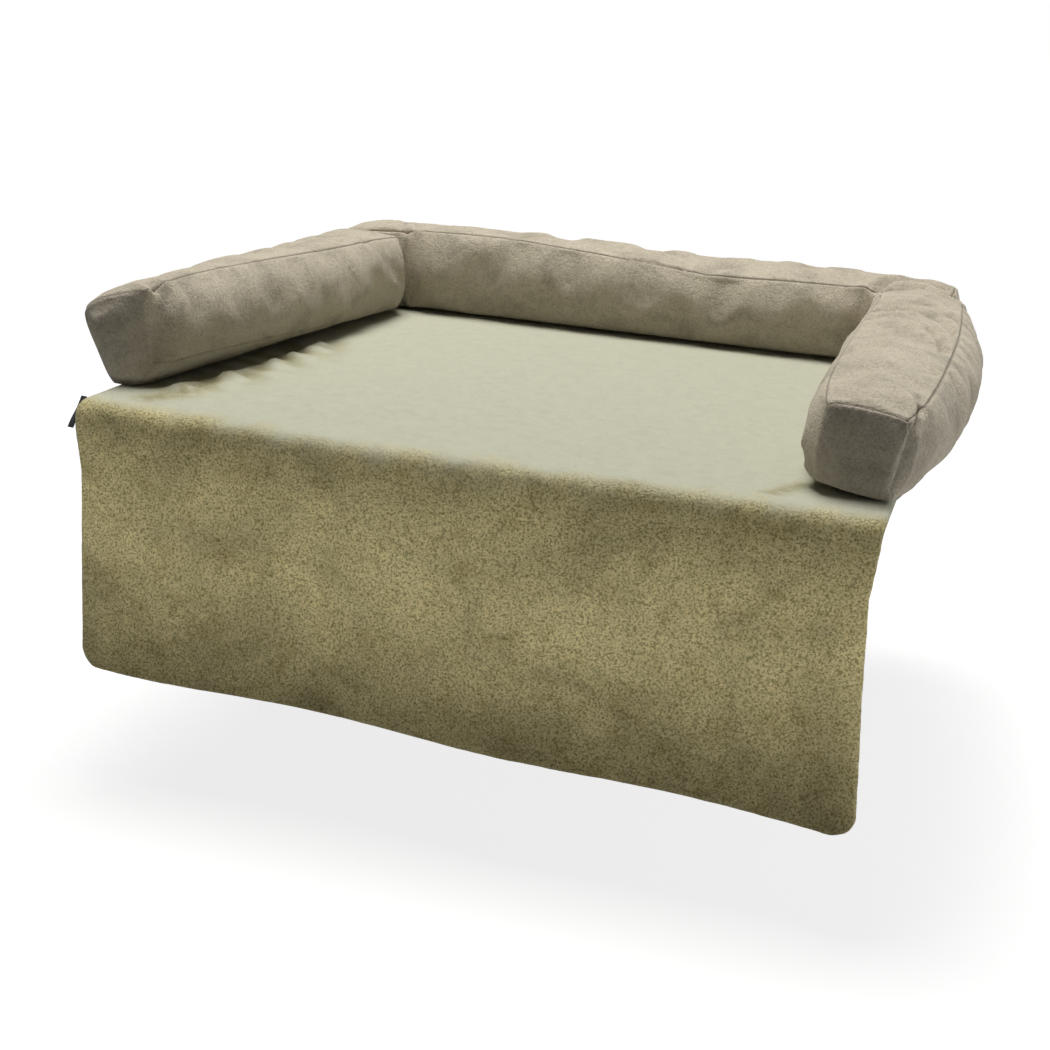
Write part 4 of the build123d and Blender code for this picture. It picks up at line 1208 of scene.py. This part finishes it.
class PETBED_OT_bolsters(bpy.types.Operator):
    """Make the three padded faux-suede bolsters"""
    bl_idname = "petbed.bolsters"
    bl_label = "Bolsters"

    def execute(self, context):
        suede = finish_of("faux_suede", suede_material, cloth().suede)
        for name, plan in BOLSTERS.items():
            low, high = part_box(name + "_top_panel")
            axis = 1 if plan["side"] else 0
            piece, corner = bolster_skin(name, plan, low[axis] - GAP, high[axis] + GAP)
            weld(piece)
            if plan["side"]:
                softened(piece, corner, SOFT_REACH, SOFT_TIMES)
            piece.data.materials.append(suede)
            panels = (f"{name}_{side}_panel" for side in ("outer", "top", "inner", "bottom", *plan["ends"]))
            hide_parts(*panels, name + "_foam_core")
            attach(piece, "bed")
        return {"FINISHED"}


# Plush cover and flap

def seat_height(x, y):
    """Seat surface: the mat's top plus a low pillow that rises over CROWN_INSET from the bolsters."""
    across = np.clip((CROWN_X - np.abs(x)) / CROWN_INSET, 0, 1)
    deep = np.clip(np.minimum(y - CROWN_FRONT, CROWN_REAR - y) / CROWN_INSET, 0, 1)
    rise = (1 - (1 - across) ** 2) * (1 - (1 - deep) ** 2)
    return MAT_THICKNESS + CROWN_HEIGHT * rise


def rucks(points):
    """Rucks of the pile beside the left bolster, waves that rise only, strongest along its foot. Also gives
    the share of the pile that is darkened and given the flap's colour: painted shade in their valleys,
    strongest near the foot, and open pile along the streaks."""
    plan = BOLSTERS["left_arm"]
    low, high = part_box("left_arm_top_panel")
    corners, _ = bolster_section(plan, np.clip((points[:, 0, 1] - low.y) / (high.y - low.y), 0, 1))
    beside = points[..., 0] + corners[:, 3, :1]
    reach = eased(beside / RUCK_FOOT) * np.clip(1 - beside / RUCK_REACH, 0, 1) ** 1.3
    from_front, to_rear = points[..., 1] - RUCK_RANGE[0], RUCK_RANGE[1] - points[..., 1]
    span = eased(from_front / RUCK_EASE[0]) * eased(to_rear / RUCK_EASE[1])
    swell = waves(points * np.array([RUCK_STRETCH, 1.0, 0.0]), RUCK_LENGTH, 83, 7)
    shape = np.clip(0.5 + 0.5 * swell, 0, 1.2)
    # Painted shade in the rucks' valleys, strongest at the bolster's foot
    open_pile_and_shade = RUCK_SHADE_SHARE * np.clip(0.45 - 0.6 * swell, 0, 1) * bell(beside, RUCK_SHADE_REACH) * span
    ragged = np.clip(0.8 + 0.5 * waves(points, 0.02, 85, 7), 0, 1)
    for line, width, share in PILE_STREAKS:
        away = line_distance(points[..., :2], np.array(line))
        open_pile_and_shade = np.maximum(open_pile_and_shade, share * ragged * bell(away, width))
    return RUCK_HEIGHT * shape * reach * span, open_pile_and_shade


def flap_depth(x, drop):
    """How far the flap's face stands off from its plane: soft folds between the knots, and a swing
    forwards."""
    phase = np.interp(x, FLAP_KNOTS, np.arange(len(FLAP_KNOTS)))
    growth = np.interp(drop, *FLAP_WAVE_GROWTH)
    level = np.clip(drop / FLAP_REACH, 0, 1.1)
    swing = smooth_table(FLAP_KNOTS, FLAP_SWING_SHARES, x)
    return -np.sin(math.pi * phase) * FLAP_WAVE * growth - level ** 2 * swing * FLAP_SWING


def side_edges(path, hung, side_inset, whole):
    """Place of the cover's left and right edges: the mat's sides with round rear corners, easing over the
    fold to the flap's cut sides, which end in a quarter ellipse at each lower corner."""
    top = HALF_WIDTH - side_inset
    corner = np.clip((path + 2 * HALF_DEPTH) / CORNER_RADIUS, 0, 1)
    rounding = CORNER_RADIUS * (1 - np.sqrt(1 - (1 - corner) ** 2)) if whole else 0
    turned = 1 - np.cos(np.clip(path / FOLD_RADIUS, 0, math.pi / 2))
    pulled = COVER_DRAW_IN * eased((path + 0.18) / 0.1) * (1 - turned)
    left_seat = -top + rounding + (FLAP_LEFT[1][0] + HALF_WIDTH) * turned
    right_seat = top - rounding + (FLAP_RIGHT[1][0] - HALF_WIDTH) * turned - pulled
    drop = hung * FLAP_MEAN_DROP
    low = np.clip((hung - 1 + HEM_CORNER_SHARE) / HEM_CORNER_SHARE, 0, 1)
    round_off = 1 - np.sqrt(1 - low ** 2)
    left_flap = np.interp(drop, *FLAP_LEFT) + side_inset + HEM_CORNERS[0] * round_off
    right_flap = np.interp(drop, *FLAP_RIGHT) - side_inset - HEM_CORNERS[1] * round_off
    return np.where(hung > 0, left_flap, left_seat), np.where(hung > 0, right_flap, right_seat)


def cover_grid(side_inset=0.0, hem_inset=0.0, whole=True):
    """Outer face of the plush, in rows from the mat's rear edge over the front fold to the hem: flat seat, a
    quarter of a squared circle of FOLD_RADIUS, then straight down with folds. When it isn't whole, it starts
    with the fold. The columns run from the left edge to the right. Gives the points, their distance to the
    edge, and the way from the mat's front edge."""
    rear_half = np.linspace(-2 * HALF_DEPTH, -HALF_DEPTH, 46)[:-1]
    front_half = np.linspace(-HALF_DEPTH, 0, 76)[:-1]
    seat = np.concatenate([rear_half, front_half]) if whole else np.empty(0)
    hang_rows, hang_near, columns = PLUSH_GRID if whole else LAYER_GRID
    hang = clustered(hang_rows, hang_near)
    fold = FOLD_ARC * clustered(22, 0.2)[:-1]
    path = np.concatenate([seat, fold, np.full(len(hang), FOLD_ARC)])
    hung = np.concatenate([np.zeros(len(seat) + len(fold)), hang])
    share = np.linspace(-1, 1, columns)
    share = np.sin(share * math.pi / 2) * 0.12 + share * 0.88
    left, right = side_edges(path, hung, side_inset, whole)
    path, hung, left, right = (row[:, None] for row in (path, hung, left, right))
    x = left + (right - left) * (share + 1) / 2
    hem = np.polyfit(FLAP_HEM_X, FLAP_HEM_DROP, 3)
    drop = hung * (np.polyval(hem, x) - hem_inset)
    angle = np.clip(path / FOLD_RADIUS, 0, math.pi / 2)
    out, up = FOLD_RADIUS * np.clip([np.sin(angle), np.cos(angle)], 0, 1) ** (2 / FOLD_SQUARENESS)
    y = np.where(path < 0, FOLD_Y - path, FOLD_Y - out)
    z = np.where(path < 0, seat_height(x, y), FOLD_Z + up) - drop
    y = y + np.where(hung > 0, flap_depth(x, drop), 0)
    side_reach = np.minimum(np.abs(x - left), np.abs(right - x))
    hem_reach = np.where(hung > 0, (1 - hung) * HEM_WAY, 1.0)
    return np.stack([x, y, z], axis=-1), np.minimum(side_reach, hem_reach), path + drop


def rolled(points, edge, near, far, radius):
    """Offsets a grid inwards by near, sinking to the middle of near and far at its free edge, on a round of
    radius."""
    normals = -surface_normals(points)
    middle = (near + far) / 2
    q = np.clip(1 - edge / radius, 0, 1)
    depth = near + (middle - near) * (1 - np.sqrt(np.clip(1 - q ** 2, 0, 1)))
    return points + normals * depth[..., None]


def blend_front(piece):
    """Bakes a piece's transform into its points."""
    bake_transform(piece)


class PETBED_OT_cover(bpy.types.Operator):
    """Make the plush cover of the seat, front fold and flap as one cloth"""
    bl_idname = "petbed.cover"
    bl_label = "Plush cover and flap"

    def execute(self, context):
        plush = finish_of("plush_pile", plush_material, tuple(cloth().seat), tuple(cloth().flap))
        points, edge, run = cover_grid()
        x = points[..., 0]
        seat = run < 0
        crowned = np.clip((seat_height(x, points[..., 1]) - MAT_THICKNESS) / CROWN_HEIGHT * 2, 0, 1)
        loose = eased((run - LOOSE_START) / LOOSE_RUN) * np.clip(edge / LOOSE_EDGE, 0, 1)
        ridges, open_pile_and_shade = rucks(points)
        swell = np.where(seat, (swells(points, SEAT_SWELL) - SEAT_SWELL[0]) * crowned + ridges, 0)
        swell = swell + loose * swells(points, *FLAP_SWELLS)
        for place, drop, radius, depth in FLAP_DENTS:
            swell = swell - depth * bell(np.hypot(x - place, run - FOLD_ARC - drop), radius)
        hem = bell(edge - HEM_STITCH, HEM_STITCH_WIDTH) * (run > FOLD_ARC + LOOSE_EDGE)
        swell = swell - hem * (HEM_STITCH_DEPTH + swells(points, HEM_SWELL))
        points = points + surface_normals(points) * np.maximum(swell, -SINK_LIMIT)[..., None]
        border = np.interp(x, *PILE_BORDER) + swells(points, *BORDER_SWELLS)
        # The rucks' painted shade and the streaks' open pile also take the flap's colour
        share = np.maximum(eased((run - border + BORDER_LEAD) / BORDER_WIDTH), OPEN_PILE_SHARE * open_pile_and_shade)
        outer, inner = (rolled(points, edge, *face) for face in PLUSH_FACES)
        piece = cloth_shell("plush_cover", outer, inner, [plush], flap_share=share, ruck_share=open_pile_and_shade * seat)
        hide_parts("seat_plush_cover", "fold_plush", "flap_plush")
        blend_front(piece)
        return {"FINISHED"}


class PETBED_OT_flap_back(bpy.types.Operator):
    """Make the wadding and the lining behind the fold and the flap"""
    bl_idname = "petbed.flap_back"
    bl_label = "Flap wadding and lining"

    def execute(self, context):
        wadding = finish_of("wadding", foam_material, WADDING_COLOUR)
        lining = finish_of("lining", woven_material, tuple(cloth().lining))
        layers = (
            ("flap_wadding_layer", PLUSH + GAP, WADDING, 0.005, wadding,
             ("fold_wadding", "flap_wadding"), "wadding"),
            ("flap_lining_cloth", PLUSH + WADDING + 2 * GAP, LINING, 0.001, lining,
             ("fold_lining", "flap_lining"), "lining"),
        )
        for name, depth, thickness, inset, material, replaced, slot in layers:
            points, edge, _ = cover_grid(inset, inset, False)
            outer = rolled(points, edge, depth, depth, EDGE_ROUND)
            inner = rolled(points, edge, depth + thickness, depth + thickness, EDGE_ROUND)
            piece = cloth_shell(name, outer, inner, [material])
            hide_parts(*replaced)
            blend_front(piece)
        return {"FINISHED"}


class PETBED_OT_label(bpy.types.Operator):
    """Make the blank folded label in the left side seam"""
    bl_idname = "petbed.label"
    bl_label = "Blank label"

    def execute(self, context):
        satin = finish_of("label_satin", woven_material, tuple(cloth().label), 0.0006, 0.0001, 0.45)
        low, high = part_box("side_label")
        reach = high.x - low.x
        middle = np.array((low + high) / 2)
        # A flat loop of a squared ellipse, carried down along the label's length with a slight wave
        loop = np.linspace(0, 2 * math.pi, 33)[:-1]
        across, thick = (np.sign(leg) * np.abs(leg) ** 0.6 for leg in (-np.cos(loop), np.sin(loop)))
        across = across[None, :, None] * reach / 2
        along = LABEL_LENGTH * (clustered(22, 0.3) - 0.5)[:, None, None]
        wave = LABEL_WAVE * np.sin(along * 150 + across * 120)
        stand_off = thick[None, :, None] * LABEL_HALF_THICKNESS + wave
        down = unit(np.array([0.0, -1.0, -1.0]))
        out = unit(np.array([0.0, -1.0, 1.0]))
        points = middle + across * np.array([1.0, 0.0, 0.0]) + stand_off * out + along * down
        rows, columns = points.shape[:2]
        last = np.arange(rows - 1) * columns + columns - 1
        closing = np.stack([last, last + columns, last + 1, last + 1 - columns], axis=1)
        faces = np.concatenate([grid_faces(rows, columns), closing]).tolist()
        ends = [list(range(columns))[::-1], list(range((rows - 1) * columns, rows * columns))]
        piece = mesh_object("blank_label", points, faces + ends, [satin])
        weld(piece)
        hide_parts("side_label")
        blend_front(piece)
        return {"FINISHED"}


# Mat

def drawn_in(y):
    """How far the mat's side band and base draw in towards the front corners, where the cover bends down."""
    return DRAW_IN * eased((-y - DRAW_IN_START) / DRAW_IN_RUN)


def band_path(half_zip):
    """Path of the side band round the left, rear and right sides, with round rear corners: each point's place
    and outward direction. It has a point at each end of the zip's slot."""
    edge_x, edge_y, radius = HALF_WIDTH - BAND_INSET, HALF_DEPTH - BAND_INSET, CORNER_RADIUS - BAND_INSET
    y = np.linspace(MAT_FRONT, edge_y - radius, 150)
    side = np.stack([-edge_x + drawn_in(y), y, -np.ones_like(y), np.zeros_like(y)], axis=1)
    turn = np.linspace(0, math.pi / 2, 12)[1:-1]
    corner = np.stack([-edge_x + radius - radius * np.cos(turn), edge_y - radius + radius * np.sin(turn),
                       -np.cos(turn), np.sin(turn)], axis=1)
    even = np.linspace(-edge_x + radius, edge_x - radius, 190)
    x = np.unique(np.concatenate([even, [-half_zip, half_zip]]))
    rear = np.stack([x, np.full_like(x, edge_y), np.zeros_like(x), np.ones_like(x)], axis=1)
    left = np.concatenate([side, corner])
    return np.concatenate([left, rear, left[::-1] * np.array([-1.0, 1.0, -1.0, 1.0])])


def band_grids():
    """Outer and inner face of the side band, its height bulging by 4 x h x (1 - h) with puckers beside its
    seams, and which of their quads lie outside the zip's slot."""
    low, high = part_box("mat_zip_tape_upper")
    half_zip = (high.x - low.x) / 2 + GAP
    bottom, top = BASE + GAP, MAT_THICKNESS - PLUSH - GAP
    path = band_path(half_zip)
    slot_share = BAND_SLOT_HALF / (top - bottom)
    share = np.unique(np.concatenate([clustered(19, 0.3), [0.5 - slot_share, 0.5 + slot_share]]))
    place = np.zeros((len(path), len(share), 3))
    place[..., :2] = path[:, None, :2]
    place[..., 2] = bottom + (top - bottom) * share
    outward = np.zeros_like(place)
    outward[..., :2] = path[:, None, 2:]
    bulge = BAND_BULGE * 4 * share * (1 - share)
    near = np.minimum(share, 1 - share) * (top - bottom)
    pucker = BAND_PUCKER * waves(place * np.array([1, 1, 0.3]), 0.02, 91, 9)
    pucker = pucker * np.exp(-near / 0.012) * np.clip(near / 0.004, 0, 1)
    at_rear = HALF_DEPTH - BAND_INSET - 0.001
    beside_zip = (np.abs(place[..., 0]) < half_zip + 0.01) & (place[..., 1] > at_rear)
    swell = np.where(beside_zip, bulge, bulge + pucker)
    middle = (place[:-1, :-1] + place[1:, 1:]) / 2
    slot = ((np.abs(middle[..., 0]) < half_zip) & (middle[..., 1] > at_rear)
            & (np.abs(middle[..., 2] - (BASE + MAT_THICKNESS - PLUSH) / 2) < BAND_SLOT_HALF))
    outer, inner = (place + outward * (swell - depth)[..., None] for depth in BAND_FACES)
    return outer, inner, ~slot


def slab_grid(rows, columns, half):
    """Flat grid of the given rows along and shares across, each row reaching half to both sides."""
    points = np.zeros((len(rows), len(columns), 3))
    points[..., 0] = half[:, None] * columns
    points[..., 1] = rows[:, None]
    return points


def round_corner(y, rear, radius):
    """How far a side draws in at y for a round corner of a radius at the rear."""
    corner = np.clip((y - rear + radius) / radius, 0, 1)
    return radius * (1 - np.sqrt(1 - corner ** 2))


class PETBED_OT_mat(bpy.types.Operator):
    """Make the mat's side band and its grip cloth"""
    bl_idname = "petbed.mat"
    bl_label = "Mat band and base"

    def execute(self, context):
        suede = finish_of("faux_suede", suede_material, cloth().suede)
        grip = finish_of("grip_cloth", grip_material, tuple(cloth().grip))
        outer, inner, kept = band_grids()
        band = cloth_shell("mat_band", outer, inner, [suede], kept)
        weld(band)
        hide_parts("mat_side_band")
        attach(band, "bed")

        straight = np.linspace(MAT_FRONT, HALF_DEPTH - CORNER_RADIUS, 46)[:-1]
        turning = HALF_DEPTH - CORNER_RADIUS + CORNER_RADIUS * np.sin(np.linspace(0, math.pi / 2, 10))
        rows = np.concatenate([straight, turning])
        half = HALF_WIDTH - round_corner(rows, HALF_DEPTH, CORNER_RADIUS) - drawn_in(rows)
        under = slab_grid(rows, np.linspace(-1, 1, 51), half)
        upper = under + np.array([0.0, 0.0, BASE])
        base = cloth_shell("grip_base", upper, under, [grip])
        weld(base)
        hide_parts("mat_base_cover")
        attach(base, "bed")
        return {"FINISHED"}


class PETBED_OT_foam(bpy.types.Operator):
    """Make the mat's two foam slabs, which draw in towards the front corners with the band"""
    bl_idname = "petbed.foam"
    bl_label = "Mat foam"

    def execute(self, context):
        slabs = (("memory_foam_slab", "mat_memory_foam", "memory_foam", tuple(cloth().foam)),
                 ("support_foam_slab", "mat_support_foam", "support_foam", SUPPORT_FOAM_COLOUR))
        for name, node, finish, colour in slabs:
            low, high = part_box(node)
            rows = np.linspace(low.y, high.y, 90)
            half = high.x - round_corner(rows, high.y, CORNER_RADIUS - FOAM_INSET) - drawn_in(rows)
            top = slab_grid(rows, np.linspace(-1, 1, 61), half)
            bottom = top + np.array([0.0, 0.0, low.z])
            top[..., 2] = high.z
            if node == "mat_memory_foam":
                pillow = seat_height(top[..., 0], top[..., 1]) - MAT_THICKNESS
                under_plush = (MAT_THICKNESS - PLUSH - GAP + pillow
                               - FOAM_SINK * np.clip(pillow / CROWN_HEIGHT * 2, 0, 1))
                past = np.clip((FOLD_Y + FOAM_ROUND_START - top[..., 1]) / FOAM_ROUND, 0, 1)
                drop = FOAM_ROUND * (1 - np.sqrt(np.clip(1 - past ** 2, 0, 1)))
                top[..., 2] = np.maximum(under_plush - drop, low.z + FOAM_LEAST)
            slab = cloth_shell(name, bottom, top, [finish_of(finish, foam_material, colour)])
            weld(slab)
            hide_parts(node)
            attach(slab, "bed")
        return {"FINISHED"}


class PETBED_OT_zips(bpy.types.Operator):
    """Finish the four zips' tapes, coils, sliders and pulls"""
    bl_idname = "petbed.zips"
    bl_label = "Zips"

    def execute(self, context):
        tape = finish_of("zip_tape", woven_material, tuple(cloth().tape), 0.0008, 0.0002)
        metal = finish_of("zip_metal", metal_material, tuple(cloth().metal))
        for place, axis in (("mat", "X"), ("left_arm", "Y"), ("right_arm", "Y"), ("back", "X")):
            coil = finish_of("zip_coil_" + axis.lower(), coil_material, tuple(cloth().tape), axis)
            finishes = {"tape_upper": tape, "tape_lower": tape, "coil": coil, "slider": metal, "pull": metal}
            for part, finish in finishes.items():
                set_material(f"{place}_zip_{part}", finish)
        return {"FINISHED"}


# Stage

def area_light(name, place, aim, size, power, colour, spread):
    """A rectangular lamp at a place, turned to its aim."""
    data = bpy.data.lights.new(name, "AREA")
    data.shape = "RECTANGLE"
    data.size, data.size_y = size
    data.energy = power
    data.color = colour
    data.spread = math.radians(spread)
    lamp = bpy.data.objects.new(name, data)
    bpy.context.scene.collection.objects.link(lamp)
    lamp.location = place
    lamp.rotation_euler = (Vector(aim) - Vector(place)).to_track_quat("-Z", "Y").to_euler()


def add_camera(scene):
    """The photograph's view: right and back are made square to each other, and up is square to both."""
    data = bpy.data.cameras.new("camera")
    camera = bpy.data.objects.new("camera", data)
    scene.collection.objects.link(camera)
    data.sensor_width = CAMERA_SENSOR
    data.sensor_fit = "AUTO"
    data.lens = CAMERA_LENS
    data.shift_x, data.shift_y = CAMERA_SHIFT
    back = Vector(CAMERA_BACK).normalized()
    up = back.cross(Vector(CAMERA_RIGHT).normalized()).normalized()
    turn = Matrix((up.cross(back), up, back)).transposed()
    camera.matrix_world = Matrix.Translation(CAMERA_PLACE) @ turn.to_4x4()
    data.clip_start, data.clip_end = 0.1, 100
    scene.camera = camera


class PETBED_OT_stage(bpy.types.Operator):
    """Make the floor, the lamps and the camera"""
    bl_idname = "petbed.stage"
    bl_label = "Stage"

    def execute(self, context):
        scene = context.scene
        scene.view_settings.view_transform = "Standard"
        white = finish_of("pale_floor", floor_material, FLOOR_COLOUR, *FLOOR_GLOW)
        corners = FLOOR_HALF * np.array([(-1, -1, 0), (1, -1, 0), (1, 1, 0), (-1, 1, 0)])
        corners = corners + np.array([0.0, 0.0, FLOOR_LEVEL])
        floor = mesh_object("floor", corners, [(0, 1, 2, 3)], [white], False)
        world = bpy.data.worlds.new("studio")
        scene.world = world
        world.use_nodes = True
        tree = world.node_tree
        tree.nodes.clear()
        output = tree.nodes.new("ShaderNodeOutputWorld")
        strength = math_node(tree, "ADD", math_node(tree, "MULTIPLY", seen_ray(tree), 1 - AMBIENT), AMBIENT)
        sky = add_node(tree, "ShaderNodeBackground", Color=(1, 1, 1, 1), Strength=strength)
        tree.links.new(sky.outputs["Background"], output.inputs["Surface"])
        for lamp in LAMPS:
            area_light(*lamp)
        add_camera(scene)
        return {"FINISHED"}


class PETBED_PT_panel(bpy.types.Panel):
    """Buttons for the bed's pieces, in the 3D view's sidebar"""
    bl_idname = "PETBED_PT_panel"
    bl_label = "Pet Bed"
    bl_space_type = "VIEW_3D"
    bl_region_type = "UI"
    bl_category = "Pet Bed"

    def draw(self, context):
        for operator in OPERATORS:
            self.layout.operator(operator.bl_idname)
        for group in (context.scene.petbed_cloth, context.scene.petbed_sewing):
            for key in group.bl_rna.properties.keys():
                if key not in ("rna_type", "name"):
                    self.layout.prop(group, key)


OPERATORS = (PETBED_OT_foam, PETBED_OT_cover, PETBED_OT_flap_back, PETBED_OT_label, PETBED_OT_mat,
             PETBED_OT_bolsters, PETBED_OT_zips, PETBED_OT_stage)
CLASSES = (PETBED_PG_cloth, PETBED_PG_sewing, *OPERATORS, PETBED_PT_panel)


def register():
    for entry in CLASSES:
        bpy.utils.register_class(entry)
    bpy.types.Scene.petbed_cloth = PointerProperty(type=PETBED_PG_cloth)
    bpy.types.Scene.petbed_sewing = PointerProperty(type=PETBED_PG_sewing)


def unregister():
    del bpy.types.Scene.petbed_sewing
    del bpy.types.Scene.petbed_cloth
    for entry in reversed(CLASSES):
        bpy.utils.unregister_class(entry)


def main():
    register()
    bpy.ops.petbed.foam()
    bpy.ops.petbed.cover()
    bpy.ops.petbed.flap_back()
    bpy.ops.petbed.label()
    bpy.ops.petbed.mat()
    bpy.ops.petbed.bolsters()
    bpy.ops.petbed.zips()
    bpy.ops.petbed.stage()


if __name__ == "__main__":
    main()
